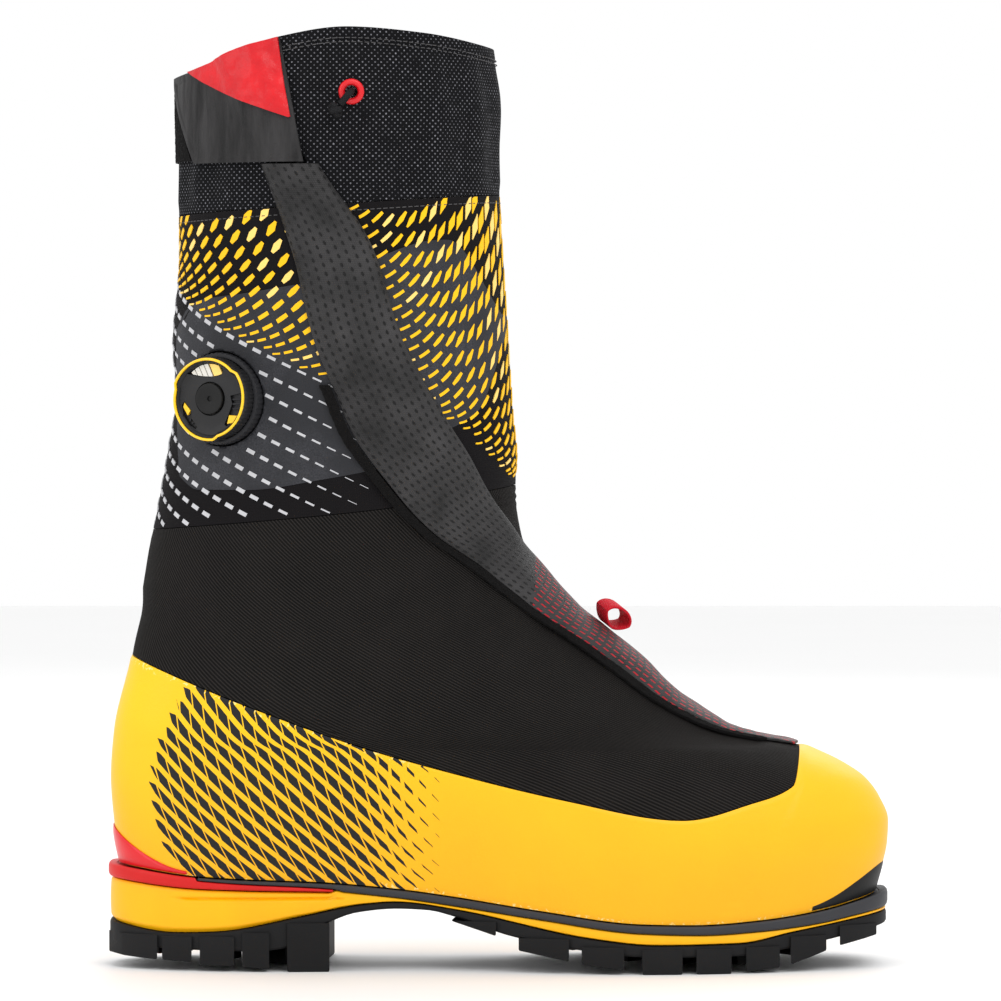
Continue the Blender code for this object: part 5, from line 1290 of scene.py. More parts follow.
# %% Tubes
def tube(name, path, radius, look, sides=20, closed=False):
    """A round tube along a path; a closed one meets its own start with the least twist."""
    path = np.asarray(path, float)
    if closed:
        tangent = np.roll(path, -1, 0) - np.roll(path, 1, 0)
    else:
        tangent = np.gradient(path, axis=0)
    tangent /= np.linalg.norm(tangent, axis=1, keepdims=True)
    up = np.array([0.3, 0.9, 0.31])
    run = np.concatenate([[0], np.cumsum(np.linalg.norm(np.diff(path, axis=0), axis=1))])
    points, maps, faces = [], [], []
    for k, spot in enumerate(path):
        up = up - tangent[k] * np.dot(up, tangent[k])
        up /= np.linalg.norm(up)
        over = np.cross(tangent[k], up)
        for i in range(sides):
            turn = 2 * math.pi * i / sides
            points.append(spot + radius * (up * math.cos(turn) + over * math.sin(turn)))
            maps.append((abs(turn - math.pi) * radius, run[k]))
    count = len(path)
    for k in range(count if closed else count - 1):
        m = (k + 1) % count
        shift = 0
        if closed and m == 0:
            start, last = np.array(points[:sides]), np.array(points[k * sides:])
            shift = int(np.argmin([np.abs(np.roll(start, -s, 0) - last).sum() for s in range(sides)]))
        for i in range(sides):
            j = (i + 1) % sides
            ahead = (m * sides + (j + shift) % sides, m * sides + (i + shift) % sides)
            faces.append((k * sides + i, k * sides + j, *ahead))
    if not closed:
        faces.append(tuple(range(sides)))
        faces.append(tuple(range((count - 1) * sides, count * sides)))
    return finish_mesh(name, points, faces, look, 50, np.array(maps))


def through(points, pieces):
    """A smooth curve through the points, cut into straight pieces."""
    points = np.array(points, float)
    padded = np.concatenate([[2 * points[0] - points[1]], points, [2 * points[-1] - points[-2]]])
    places = []
    for at in np.linspace(0, len(points) - 1, pieces + 1):
        i = min(int(at), len(points) - 2)
        t = at - i
        a, b, c, d = padded[i : i + 4]
        bend = (2 * a - 5 * b + 4 * c - d) * t**2 + (3 * (b - c) + d - a) * t**3
        places.append(0.5 * (2 * b + (c - a) * t + bend))
    return np.array(places)


# %% Eyelet and drawcord
ring = [(0.0025, -0.0026), (0.0032, -0.0026), (0.0032, 0.0001), (0.0051, 0.0001)]
ring += [(0.00385 + 0.00125 * math.cos(a), 0.00055 + 0.00115 * math.sin(a))
         for a in np.linspace(-0.35, math.pi, 12)]
ring += [(0.0025, 0.0001)]
eyelet = turned("eyelet_ring", ring, EYELET_PLACE, EYELET_AXIS, red_gloss, 64)
stand_for(eyelet, "red_plastic", "boot", "eyelet")

CORD_RADIUS, KNOT_SIZE = 0.0014, 0.00072
ROUTE = ((-0.0098, 0.0220, -0.0012), (-0.0084, 0.0160, -0.0014), (-0.0070, 0.0100, -0.0012),
         (-0.0054, 0.0040, -0.0006), (-0.0026, 0.0004, -0.0001), (0.0006, 0.0, 0.0),
         (0.0036, -0.0016, 0.0016), (0.0040, -0.0046, 0.0052))
route = [EYELET_PLACE + EYELET_AXIS * out + Vector((1, 0, 0)) * ahead - Vector((0, 0, 1)) * down
         for out, ahead, down in ROUTE]
route = through(route, 34)
cord = tube("collar_drawcord", route, CORD_RADIUS, black_braid)
end, run = Vector(route[-1]), Vector(route[-1] - route[-2]).normalized()
t = np.linspace(0, 2 * math.pi, 96, endpoint=False)
trefoil = np.stack(
    [np.sin(t) + 2 * np.sin(2 * t), np.cos(t) - 2 * np.cos(2 * t), -1.4 * np.sin(3 * t)], axis=1)
knot_turn = Vector((0, 0, 1)).rotation_difference(run).to_matrix()
knot_path = [end + run * 0.0030 + knot_turn @ Vector(p * KNOT_SIZE) for p in trefoil]
knot = tube("drawcord_knot_tied", knot_path, 0.00135, black_braid, 16, closed=True)
stand_for(cord, "black_fabric", "boot", "drawcord")
stand_for(knot, "black_fabric", "boot", "drawcord_knot")

# %% [markdown]
# ## Instep loop
# A red webbing loop stands on the instep for pulling the gaiter down. It is one strip bent into an oval and
# turned a little, so that its outer face shows in front and its inner face behind.

# %% Instep loop
pivot = Vector((0.043396, 0.0017, 0.136962))
loop_out = Vector(outward(0.135, 0.0))
loop_along = loop_out.cross(Vector((0, 1, 0))).normalized()
LOOP_TURN = math.radians(34)
loop_wide = loop_along * math.sin(LOOP_TURN) + Vector((0, 1, 0)) * math.cos(LOOP_TURN)
loop_run = loop_along * math.cos(LOOP_TURN) - Vector((0, 1, 0)) * math.sin(LOOP_TURN)


def strap_loop(name, centre, run, out, wide, long, high, half_width, thick, look, pinch=0.0):
    """A closed strip of webbing; run and out span its oval, wide is the direction of its width."""
    turns = np.linspace(0, 2 * math.pi, 72, endpoint=False)
    flat = half_width - 0.0003
    across_it = [(-half_width, 0.25), (-flat, 0.0), (0, 0.0), (flat, 0.0), (half_width, 0.25)]
    section = across_it + [(w, 1 - r) for w, r in reversed(across_it)]
    points, maps = [], []
    for t in turns:
        squeeze = 1 - pinch * max(0, -math.sin(t))
        for w, share in section:
            a, b = (long - thick * share) * math.cos(t) * squeeze, (high - thick * share) * math.sin(t)
            points.append(centre + run * a + out * b + wide * w)
            maps.append((w, t * (long + high) / 2))
    count = len(section)
    faces = []
    for k in range(len(turns)):
        m = (k + 1) % len(turns)
        for i in range(count):
            j = (i + 1) % count
            faces.append((k * count + i, k * count + j, m * count + j, m * count + i))
    return finish_mesh(name, points, faces, look, 40, np.array(maps))


loop = strap_loop("instep_webbing", pivot + loop_out * 0.0050, loop_run, loop_out, loop_wide, 0.0072, 0.0048,
                  0.0046, 0.0011, red_webbing, 0.35)
stand_for(loop, "red_fabric", "boot", "instep_loop")

# %% [markdown]
# ## Lace dial
# The dial turns about an axis that leans towards the heel. Its knob has a yellow ring that steps out three
# times in a turn, three windows with pale and yellow chips, and grip ridges round its side. The hub stays
# still in the middle, so it belongs to the part that only slides out.

# %% Dial
FLOOR, RIM, KNOB, TOP = 0.0026, 0.0068, 0.0071, 0.0145
dial_side, dial_up = axis_frame(DIAL_AXIS)


def step_out(turn):
    """The ring's radius falls slowly and steps out again every third of a turn."""
    share = ((turn - math.radians(22)) / math.radians(120)) % 1
    return -0.00110 * (share if share < 0.93 else 0.93 * (1 - (share - 0.93) / 0.07))


def skirt_swell(turn, radius, along):
    return 0.00035 * abs(math.sin(turn * 26)) if radius > 0.0176 else 0


def knob_swell(turn, radius, along):
    grip = 0.00030 * abs(math.sin(turn * 30)) if radius > 0.0165 and along < TOP - 0.002 else 0
    return (step_out(turn) * min(1, max(0, (radius - 0.0125) / 0.003)) + grip) if radius > 0.0125 else 0


base = [(0.0023, 0), (0.0176, 0), (0.0181, 0.0006), (0.0181, RIM - 0.0012), (0.0178, RIM - 0.0004),
        (0.0172, RIM), (0.0166, RIM), (0.0166, FLOOR), (0.0023, FLOOR)]
stand_for(turned("dial_housing", base, DIAL_FOOT, DIAL_AXIS, dial_rubber, 312, skirt_swell), "black_rubber",
          "boot", "dial_base")
profile = [(0.0023, KNOB), (0.0168, KNOB), (0.0171, KNOB + 0.0004), (0.0171, TOP - 0.0026),
           (0.0169, TOP - 0.0016), (0.0164, TOP - 0.0009), (0.0156, TOP - 0.0008), (0.0150, TOP - 0.0012),
           (0.0144, TOP - 0.0020), (0.0136, TOP - 0.0023), (0.0100, TOP - 0.0022), (0.0068, TOP - 0.0020),
           (0.0065, TOP - 0.0023), (0.0065, TOP - 0.0036), (0.0023, TOP - 0.0036)]
knob = turned("dial_knob_turned", profile, DIAL_FOOT, DIAL_AXIS, dial_plastic, 360, knob_swell)


def chip(name, outline, low, high, look):
    """A flat plate on the dial's face; its outline is in millimetres towards the heel and up."""
    points = [DIAL_FOOT + DIAL_AXIS * h + dial_side * (a / 1000) + dial_up * (b / 1000)
              for h in (low, high) for a, b in outline]
    n = len(outline)
    faces = [tuple(reversed(range(n))), tuple(range(n, 2 * n))]
    faces += [(i, (i + 1) % n, n + (i + 1) % n, n + i) for i in range(n)]
    return finish_mesh(name, points, faces, look, 30)


LENS_REAR, LENS_FRONT = 10.6, -5.9
LENS_TOP = smooth(((LENS_FRONT, 11.0), (-5.4, 12.2), (-4.2, 13.3), (-2.4, 14.0), (0, 14.2), (2.5, 13.9),
                   (5.5, 12.9), (8.5, 11.3), (LENS_REAR, 9.9)))
LENS_LOW = smooth(((LENS_FRONT, 11.0), (-5.4, 9.9), (-4.4, 9.3), (-2.2, 8.8), (0.5, 8.5), (3.5, 8.6),
                   (6.5, 9.0), (9.0, 9.5), (LENS_REAR, 9.9)))
across_lens = np.linspace(LENS_FRONT, LENS_REAR, 26)
lens_above = [(a, float(LENS_TOP(a))) for a in across_lens]
lens_below = [(a, float(LENS_LOW(a))) for a in across_lens[-2:0:-1]]
LOWER_FRONT = [(-9.2, 1.2), (-13.6, 2.2), (-14.1, -2.0), (-13.3, -5.8), (-10.6, -9.6), (-7.2, -11.0),
               (-6.4, -10.2), (-8.6, -5.6), (-10.0, -2.0)]
LOWER_REAR = [(11.9, -1.0), (13.2, -2.4), (12.4, -6.6), (9.6, -10.4), (6.8, -12.2), (6.2, -11.2),
              (8.6, -8.0), (9.0, -4.4)]
for outline in (lens_above + lens_below, LOWER_FRONT, LOWER_REAR):
    combine(knob, chip("cutter", outline, TOP - 0.0035, TOP + 0.002, dial_plastic))
knob.data.set_sharp_from_angle(angle=math.radians(32))
stand_for(knob, "black_plastic", "dial_knob", "dial_knob")


def lens_slice(first, last):
    """Part of the lens window between two slanted lines."""
    spots = np.linspace(last, first, 6)
    top = [(a + 0.40 * (float(LENS_TOP(a)) - 11), float(LENS_TOP(a + 0.6)) - 0.35) for a in spots]
    low = [(a + 0.40 * (float(LENS_LOW(a)) - 11), float(LENS_LOW(a - 0.6)) + 0.35) for a in spots[::-1]]
    return top + low


chips = [("pale_chip_1", lens_slice(8.7, 7.0), dial_pale), ("pale_chip_2", lens_slice(6.6, 4.6), dial_pale),
         ("pale_chip_3", lens_slice(4.2, 2.2), dial_pale), ("pale_chip_4", lens_slice(1.8, 0.0), dial_pale),
         ("cream_chip", lens_slice(-0.7, -4.6), print_pale),
         ("yellow_chip_right", [(-8.5, -6.6), (-12.2, -6.7), (-10.3, -9.5), (-7.6, -9.9)], dial_yellow),
         ("yellow_chip_left", [(12.1, -1.6), (12.6, -3.4), (10.6, -6.6), (9.4, -4.6)], dial_yellow)]
chips += [(f"window_rib_{k}", [(-10.2, b), (-13.6, b + 0.2), (-13.6, b + 0.8), (-10.0, b + 0.6)], dial_rubber)
          for k, b in enumerate((-0.6, -2.4, -4.2))]
chips += [(f"window_bar_{k}", [(9.2 - 1.2 * k, -8.0 - 1.0 * k), (9.9 - 1.2 * k, -8.4 - 1.0 * k),
                               (9.7 - 1.2 * k, -9.0 - 1.0 * k), (8.9 - 1.2 * k, -8.6 - 1.0 * k)], dial_rubber)
          for k in range(3)]
for name, outline, look in chips:
    plate = chip(name, outline, TOP - 0.0037, TOP - 0.0024, look)
    slot = "yellow_plastic" if look is dial_yellow else "black_plastic"
    stand_for(plate, slot, "dial_knob")

ring = [(0.01555 + 0.00055 * math.cos(t), TOP - 0.0004 + 0.00065 * math.sin(t))
        for t in np.linspace(0, 2 * math.pi, 14, endpoint=False)]
stand_for(turned("dial_yellow_ring", ring, DIAL_FOOT, DIAL_AXIS, dial_yellow, 240,
                 lambda turn, radius, along: step_out(turn) + 0.0008, 60),
          "yellow_plastic", "dial_knob", "dial_ring")
cap = [(0, TOP - 0.0030), (0.0060, TOP - 0.0030), (0.0062, TOP - 0.0013), (0.0060, TOP - 0.0009),
       (0.0056, TOP - 0.0008), (0.0046, TOP - 0.0010), (0.0030, TOP - 0.0013), (0.0014, TOP - 0.00145),
       (0.0011, TOP - 0.0016), (0.0010, TOP - 0.0022), (0, TOP - 0.0022)]
hub = turned("dial_hub", cap, DIAL_FOOT, DIAL_AXIS, toe_rubber, 96)
stand_for(hub, "black_plastic", "dial_core", "dial_cap")
print("dial knob:", len(knob.data.polygons), "faces")

# %% [markdown]
# ## Sole
# From the top down: a thin red ledge at the heel and a grey frame before it, where a crampon holds; a yellow
# foam wedge with a fine groove in its side; and a black lugged outsole. All follow the sole's edge, an oval
# that is blunter than an ellipse and follows the foot's half widths.

# %% Sole tables
FRAME_THICK = ((-0.122, 0.0009), (-0.100, 0.0013), (-0.066, 0.0018), (-0.062, 0.0026), (-0.016, 0.0030),
               (0.020, 0.0028), (0.097, 0.0036), (0.138, 0.0048), (0.158, 0.0064))
RED_BOTTOM = ((-0.158, 0.0362), (-0.120, 0.0326), (-0.100, 0.0322), (-0.064, 0.0316))
OUTSOLE_BASE = ((-0.158, 0.0098), (-0.130, 0.0086), (-0.098, 0.0080), (-0.086, 0.0092), (-0.070, 0.0185),
                (-0.056, 0.0236), (-0.041, 0.0250), (-0.028, 0.0244), (-0.018, 0.0220), (0.004, 0.0148),
                (0.030, 0.0098), (0.064, 0.0066), (0.096, 0.0068), (0.117, 0.0096), (0.145, 0.0148),
                (0.158, 0.0172))
MIDSOLE_BOTTOM = ((-0.158, 0.0188), (-0.130, 0.0150), (-0.113, 0.0156), (-0.079, 0.0217), (-0.054, 0.0266),
                  (-0.041, 0.0276), (-0.0160, 0.0244), (0.035, 0.0141), (0.064, 0.0112), (0.096, 0.0116),
                  (0.117, 0.0156), (0.145, 0.0204), (0.158, 0.0225))
LUGS = (  # rear x, front x, rear bottom, front bottom
    (-0.0185, -0.0010, 0.0202, 0.0146), (-0.1570, -0.1365, 0.0056, 0.0042),
    (-0.1345, -0.1225, 0.0042, 0.0036), (-0.1192, -0.1054, 0.0024, 0.0024),
    (-0.1022, -0.0914, 0.0020, 0.0012), (-0.0842, -0.0674, 0.0, 0.0), (0.0080, 0.0280, 0.0090, 0.0050),
    (0.0330, 0.0498, 0.0040, 0.0018), (0.0570, 0.0730, 0.0, 0.0), (0.0786, 0.0926, 0.0, 0.0),
    (0.0985, 0.1120, 0.0008, 0.0020), (0.1165, 0.1310, 0.0030, 0.0080), (0.1365, 0.1520, 0.0098, 0.0130))
STUDS = (  # x, y, half length, half width, bottom
    (-0.137, 0.0, 0.008, 0.010, 0.0046), (-0.112, 0.0, 0.008, 0.010, 0.0020),
    (-0.086, 0.0, 0.007, 0.009, 0.0), (0.030, 0.0, 0.007, 0.009, 0.0058),
    (0.052, -0.011, 0.007, 0.008, 0.0022), (0.052, 0.011, 0.007, 0.008, 0.0022),
    (0.074, 0.0, 0.008, 0.009, 0.0), (0.096, -0.010, 0.007, 0.008, 0.0006),
    (0.096, 0.012, 0.007, 0.008, 0.0006), (0.118, 0.002, 0.007, 0.010, 0.0034))
FRAME_REAR, RED_FRONT = -0.120, -0.066
frame_thick, red_bottom = smooth(FRAME_THICK), smooth(RED_BOTTOM)
outsole_base, midsole_bottom = smooth(OUTSOLE_BASE), smooth(MIDSOLE_BOTTOM)
SOLE_TURN = np.linspace(0, 2 * math.pi, 280, endpoint=False)


def sole_ring(margin, height):
    """A ring round the sole; margin is how far it lies inside the sole's edge."""
    x = (SOLE_LENGTH / 2 - np.asarray(margin)) * np.cos(SOLE_TURN)
    foot = np.where(np.sin(SOLE_TURN) < 0, lateral_foot(x), medial_foot(x)) + SOLE_MARGIN - margin
    y = middle(x) + foot * np.sign(np.sin(SOLE_TURN)) * oval(np.cos(SOLE_TURN), SOLE_BLUNT)
    return np.stack([x, y, height(x)], axis=-1)


def sole_edge(x, side):
    foot = float(lateral_foot(x) if side < 0 else medial_foot(x)) + SOLE_MARGIN
    return float(middle(x)) + side * foot * float(oval(x / (SOLE_LENGTH / 2), SOLE_BLUNT))


def slab(name, rings, look):
    """A solid from a stack of rings, bottom first, closed below and above."""
    columns = len(rings[0])
    faces = []
    for r in range(len(rings) - 1):
        for c in range(columns):
            d = (c + 1) % columns
            faces.append((r * columns + c, r * columns + d, (r + 1) * columns + d, (r + 1) * columns + c))
    faces += cap_faces(0, columns) + cap_faces((len(rings) - 1) * columns, columns)
    return finish_mesh(name, np.concatenate(rings), faces, look, 40)


def arc_ring(stations, margin, height):
    """Part of a ring round the sole: stations are shares of its half length, from the lateral side round."""
    share = np.concatenate([stations, stations[-2::-1]])
    side = np.where(np.arange(len(share)) < len(stations), -1, 1)
    x = share * SOLE_LENGTH / 2 - margin * share**9
    foot = np.where(side < 0, lateral_foot(x), medial_foot(x)) + SOLE_MARGIN - margin
    return np.stack([x, middle(x) + side * foot * oval(share, SOLE_BLUNT), height(x)], axis=-1)


def deck(name, stations, bottom, top, look):
    """A plate under part of the foot with rounded rims, one straight end and a shallow seat inside."""
    def at(share):
        return lambda x: bottom(x) + share * (top(x) - bottom(x))

    def seat(x):
        return top(x) - np.minimum(0.0004, 0.5 * (top(x) - bottom(x)))

    layers = [(0.0007, at(0.0)), (0.00025, at(0.08)), (0.0, at(0.25)), (0.0, at(0.75)), (0.00025, at(0.92)),
              (0.0007, at(1.0)), (0.0034, at(1.0)), (0.0036, seat)]
    rings = [arc_ring(stations, margin, height) for margin, height in layers]
    columns = len(rings[0])
    faces = []
    for r in range(len(rings) - 1):
        faces += [(r * columns + c, r * columns + c + 1, (r + 1) * columns + c + 1, (r + 1) * columns + c)
                  for c in range(columns - 1)]
        first, last = r * columns, r * columns + columns - 1
        faces.append((first, first + columns, last + columns, last))
    for first in (0, (len(rings) - 1) * columns):
        pole = first + columns // 2
        faces.append((pole - 1, pole, pole + 1))
        faces += [(first + c, first + c + 1, first + columns - 2 - c, first + columns - 1 - c)
                  for c in range(columns // 2 - 1)]
    return finish_mesh(name, np.concatenate(rings), faces, look, 50)


def rounded_shares(pole, end, count):
    return pole * np.cos(np.linspace(math.acos(end / pole), 0, count))


def frame_bottom(x):
    return welt_top(x) - frame_thick(x)


# %% Sole pieces
shared = np.linspace(FRAME_REAR, RED_FRONT, 30) / (SOLE_LENGTH / 2)
stations = np.concatenate([shared, rounded_shares(1, shared[-1] + 0.010, 110)])
grey = deck("grey_frame", stations, frame_bottom, welt_top, frame_grey)
stand_for(grey, "grey_plastic", "boot", "welt")
step = shared[0] - 0.007


def red_top(x):
    return np.where(x > (step + 0.002) * SOLE_LENGTH / 2,
                    np.maximum(frame_bottom(x) - GAP, red_bottom(x) + 2 * GAP), welt_top(x))


stations = np.concatenate([shared[::-1], [shared[0] - 0.003], -rounded_shares(1, -step, 60)])
red = deck("red_heel_ledge", stations, lambda x: red_bottom(x) + GAP, red_top, ledge_red)
stand_for(red, "red_plastic", "boot", "heel_ledge")


def foam_top(x):
    return np.where(x < RED_FRONT, red_bottom(x), frame_bottom(x)) - GAP


def foam_bottom(x):
    return midsole_bottom(x) + GAP


rings = []
for share in np.concatenate([[0, 0.03, 0.07], np.linspace(0.12, 0.93, 34), [0.97, 1.0]]):
    x = (SOLE_LENGTH / 2) * np.cos(SOLE_TURN)
    z = foam_bottom(x) + share * (foam_top(x) - foam_bottom(x))
    groove_at = 0.0288 + (x + 0.1294) * 0.006
    groove = 0.0012 * np.exp(-(((z - groove_at) / 0.00055) ** 2))
    groove = groove * ease((x + 0.1310) / 0.003) * ease((-0.0625 - x) / 0.003)
    round_low, round_high = 0.0016 * ease(1 - share / 0.10), 0.0006 * ease(1 - (1 - share) / 0.05)
    bulge = 0.0004 * math.sin(math.pi * share)
    rings.append(sole_ring(0.0012 + round_low + round_high + groove - bulge,
                           lambda x, share=share: foam_bottom(x) + share * (foam_top(x) - foam_bottom(x))))
stand_for(slab("yellow_midsole", rings, midsole_yellow), "yellow_foam", "boot", "midsole")

plate = slab("lugged_outsole", [
    sole_ring(0.0020, outsole_base),
    sole_ring(0.0010, lambda x: outsole_base(x) + 0.0003),
    sole_ring(0.0006, lambda x: outsole_base(x) + 0.0009),
    sole_ring(0.0006, lambda x: midsole_bottom(x) - 0.0012),
    sole_ring(0.0009, lambda x: midsole_bottom(x) - 0.0003),
    sole_ring(0.0016, midsole_bottom)], sole_rubber)
work = bmesh.new()


def lug_block(plan, bottoms):
    """One upright block with chamfered edges below."""
    top = min(float(midsole_bottom(x)) for x, _ in plan) - 0.0012
    low = [work.verts.new((x, y, z)) for (x, y), z in zip(plan, bottoms)]
    high = [work.verts.new((x, y, top)) for x, y in plan]
    count = len(plan)
    made = [work.faces.new(list(reversed(low))), work.faces.new(high)]
    for i in range(count):
        j = (i + 1) % count
        made.append(work.faces.new((low[i], low[j], high[j], high[i])))
    bmesh.ops.recalc_face_normals(work, faces=made)
    bmesh.ops.bevel(work, geom=list(made[0].edges), offset=0.0007, segments=2, profile=0.6, affect="EDGES")


for side in (-1, 1):
    for rear, front, rear_z, front_z in LUGS:
        shares = (0.0, 0.3, 0.7, 1.0)
        places = [rear + (front - rear) * s for s in shares]
        edge = [(x, sole_edge(x, side) + side * 0.0006) for x in places]
        heights = [rear_z + (front_z - rear_z) * s for s in shares]
        reach = side * min(0.0240, abs(edge[0][1]) - 0.0040, abs(edge[-1][1]) - 0.0040)
        inner = [(edge[-1][0] - 0.0020, edge[-1][1] - reach), (edge[0][0] + 0.0020, edge[0][1] - reach)]
        lug_block((*edge, *inner), (*heights, heights[-1], heights[0]))
for x, y, half_long, half_wide, low in STUDS:
    y += float(middle(x))
    lug_block(((x - half_long, y), (x, y - half_wide), (x + half_long, y), (x, y + half_wide)), (low,) * 4)
lug_mesh = bpy.data.meshes.new("lugs")
work.to_mesh(lug_mesh)
work.free()
lugs = bpy.data.objects.new("lugs", lug_mesh)
scene.collection.objects.link(lugs)
combine(plate, lugs, "UNION", "MANIFOLD")
plate.data.shade_smooth()
plate.data.set_sharp_from_angle(angle=math.radians(28))
plate.data.materials.clear()
plate.data.materials.append(sole_rubber.material)
stand_for(plate, "black_rubber", "boot", "outsole")
print("outsole:", len(plate.data.polygons), "faces")

# %% Heel stay and toe guard
def foot_wall(name, turn, rise, raise_by, crown, look):
    """A low wall that stands on the frame and hugs the rand; crown is how far its side swells."""
    share = np.linspace(0, 1, 14)[:, None]
    z = height_on(welt_top, turn, raise_by) + (rise + 0.0012) * share
    swell = np.sin(math.pi * np.clip(share * 0.9 + 0.08, 0, 1)) ** 0.4
    thick = (crown * swell + 0.0001) * np.ones(len(turn))
    return wall(name, under(z, turn, -GAP - thick), under(z, turn, -GAP), look)


turn = np.radians(np.linspace(145, 215, 90))
rise = 0.0136 * ease(1 - np.abs(turn - math.pi) / math.radians(36))
stay = foot_wall("red_heel_stay", turn, rise, 0.0010, 0.0009, red_gloss)
stand_for(stay, "red_plastic", "boot", "heel_stay")
turn = np.radians(np.linspace(-34, 34, 90))
rise = 0.0106 * ease(1.25 - np.abs(turn) / math.radians(30))
guard = foot_wall("black_toe_guard", turn, rise, 0.0011, 0.0005, toe_rubber)
stand_for(guard, "black_rubber", "boot", "toe_guard")

# %% [markdown]
# ## Inner boot
# The liner is a felt sock that stands a little lower than the collar. It holds a yellow footbed, and has a
# red webbing loop at the back of its rim.

# %% Inner boot
def liner_depth(z, phi):
    x = skin(z, phi)[..., 0]
    return 0.0034 + 0.0022 * ease((0.060 - x) / 0.060) + 0.0018 + 0.0015 + 2 * GAP


LINER_TOP, LINER_THICK = 0.345, 0.0036
turn = round_about(200)
low = height_on(welt_top, turn, 0.0031)
high = np.full(len(turn), LINER_TOP)
z_out = climb(low, high, 90)
z_in = climb(low + 0.0030, high, 90)
quilt = 0.00045 * np.abs(np.sin(z_in / 0.0085 * math.pi / 2)) * ease((0.338 - z_in) / 0.004)
roll = 0.0008 * ease((z_in - 0.3380) / 0.002)
outer_rim = 0.0001 + 0.0005 * ease((z_out - 0.3435) / 0.0015)
inner_rim = 0.0009 * ease((z_in - 0.3438) / 0.0012)
outer = under(z_out, turn, liner_depth(z_out, turn) + outer_rim)
inner = under(z_in, turn, liner_depth(z_in, turn) + LINER_THICK - quilt - roll + inner_rim)
rows, columns = outer.shape[:2]
side = rows * columns
faces = []
for c in range(columns):
    d = (c + 1) % columns
    for r in range(rows - 1):
        quad = (r * columns + c, r * columns + d, (r + 1) * columns + d, (r + 1) * columns + c)
        faces += [quad, tuple(side + i for i in reversed(quad))]
    top = (rows - 1) * columns
    faces.append((top + c, top + d, side + top + d, side + top + c))
faces += cap_faces(0, columns) + cap_faces(side, columns)
points = np.concatenate([outer.reshape(-1, 3), inner.reshape(-1, 3)])
felt = finish_mesh("felt_liner", points, faces, lining, 50)
stand_for(felt, "pale_fabric", "boot", "liner")
centre = Vector(under(0.335, math.pi, liner_depth(0.335, math.pi) + LINER_THICK + 3 * GAP + 0.0045))
pull = strap_loop("liner_pull_loop", centre, Vector((1, 0, 0)), Vector((0, 0, 1)), Vector((0, 1, 0)),
                  0.0044, 0.0129, 0.0062, 0.0011, red_webbing)
stand_for(pull, "red_fabric", "boot", "liner_loop")


def bed_ring(inset, raise_by):
    z = height_on(welt_top, turn, raise_by)
    return under(z, turn, liner_depth(z, turn) + inset)


BED = 2 * GAP + 0.0025 + 0.0030 + GAP
BED_RIM = ((0.0048, 0), (0.0043, 0.0006), (0.0042, 0.0014), (0.0042, 0.0027), (0.0044, 0.0032),
           (0.0052, 0.0035))
bed = slab("shaped_footbed", [bed_ring(inset, BED + up) for inset, up in BED_RIM], bed_foam)
stand_for(bed, "yellow_foam", "boot", "footbed")

# %% [markdown]
# ## Slider and hidden pieces
# The zip's slider and pull are the frame's own shapes with their edges broken. The shell, its tongue, the
# lace and the pieces behind the dial lie out of sight, so the frame's solids stay and only get a finish.

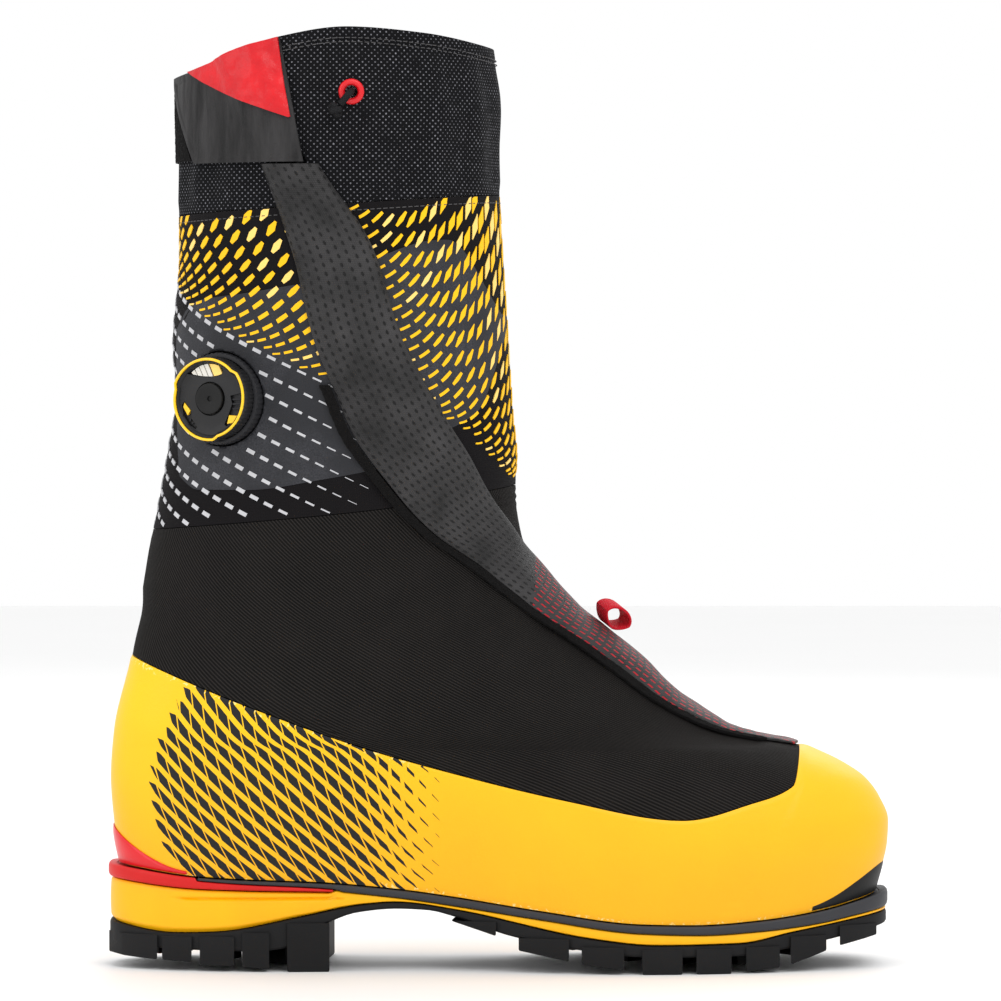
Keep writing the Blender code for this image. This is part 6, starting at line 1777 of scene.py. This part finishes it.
# %% Broken edges and carried-over pieces
def softened(node, name, width, look, slot, body):
    """A copy of a solid of the frame with chamfered edges, in the shared frame."""
    source = bpy.data.objects[node]
    mesh = source.data.copy()
    mesh.transform(source.matrix_world)
    work = bmesh.new()
    work.from_mesh(mesh)
    bmesh.ops.remove_doubles(work, verts=work.verts, dist=1e-6)
    bmesh.ops.dissolve_limit(work, angle_limit=0.01, verts=work.verts, edges=work.edges)
    sharp = [e for e in work.edges if len(e.link_faces) == 2 and e.calc_face_angle(0) > 0.5]
    bmesh.ops.bevel(work, geom=sharp, offset=width, segments=2, profile=0.6, affect="EDGES")
    work.to_mesh(mesh)
    work.free()
    mesh.materials.clear()
    mesh.materials.append(look.material)
    mesh.shade_smooth()
    mesh.set_sharp_from_angle(angle=math.radians(35))
    obj = bpy.data.objects.new(name, mesh)
    scene.collection.objects.link(obj)
    return stand_for(obj, slot, body, node)


softened("zip_slider", "steel_slider", 0.0002, steel, "steel", "zip_slider")
softened("zip_pull", "steel_pull", 0.0002, steel, "steel", "zip_slider")


def dress(look, slot, *nodes):
    for node in nodes:
        obj = bpy.data.objects[node]
        obj.data.materials.clear()
        obj.data.materials.append(look.material)


dress(inner_cloth, "charcoal_fabric", "shell_upper", "shell_tongue", "insole_board")
dress(inner_cloth, "black_fabric", "zip_tape")
dress(steel, "steel", "lace_cable", "dial_post")
dress(dial_plastic, "black_plastic", "lace_guide_1", "lace_guide_2", "lace_guide_3", "dial_spool")

# %% [markdown]
# ## Stitches
# Seams are rows of stitches, each a small raised block, set along the seam by the same node tree as the
# zip's teeth.

# %% Stitches
STITCH_PITCH, STITCH_HALF = 0.0026, (0.0009, 0.00022, 0.00016)
seam_thread = moulded("seam_thread", (0.030, 0.029, 0.030), (0.075, 0.072, 0.074), 0.7, 1800)


def seam(name, z, phi, lift, slot):
    """A row of stitches along a line of the last, a little outside its skin."""
    row = links_on(name, under(z, phi, -lift), outward(z, phi), STITCH_PITCH, STITCH_HALF, seam_thread)
    return stand_for(row, slot, "boot")


def gap_turn(z, count):
    """Angles once round the collar, from one side of the zip to the other."""
    start = float(zip_angle(float(np.mean(z)))) + 0.16
    return np.linspace(start, start + 2 * math.pi - 0.32, count)


for k, drop in enumerate((0.0046, 0.0062)):
    phi = gap_turn(0.36, 500)
    z = height_on(collar_top, phi, -drop)
    seam(f"collar_stitches_{k}", z, phi, 0.0001, "knit_fabric")
phi = gap_turn(0.304, 500)
seam("cuff_stitches", height_on(cuff_bottom, phi, -0.0030), phi, -0.00035, "print_fabric")

# %% [markdown]
# ## End

# %% End
print("end of the boot scene")
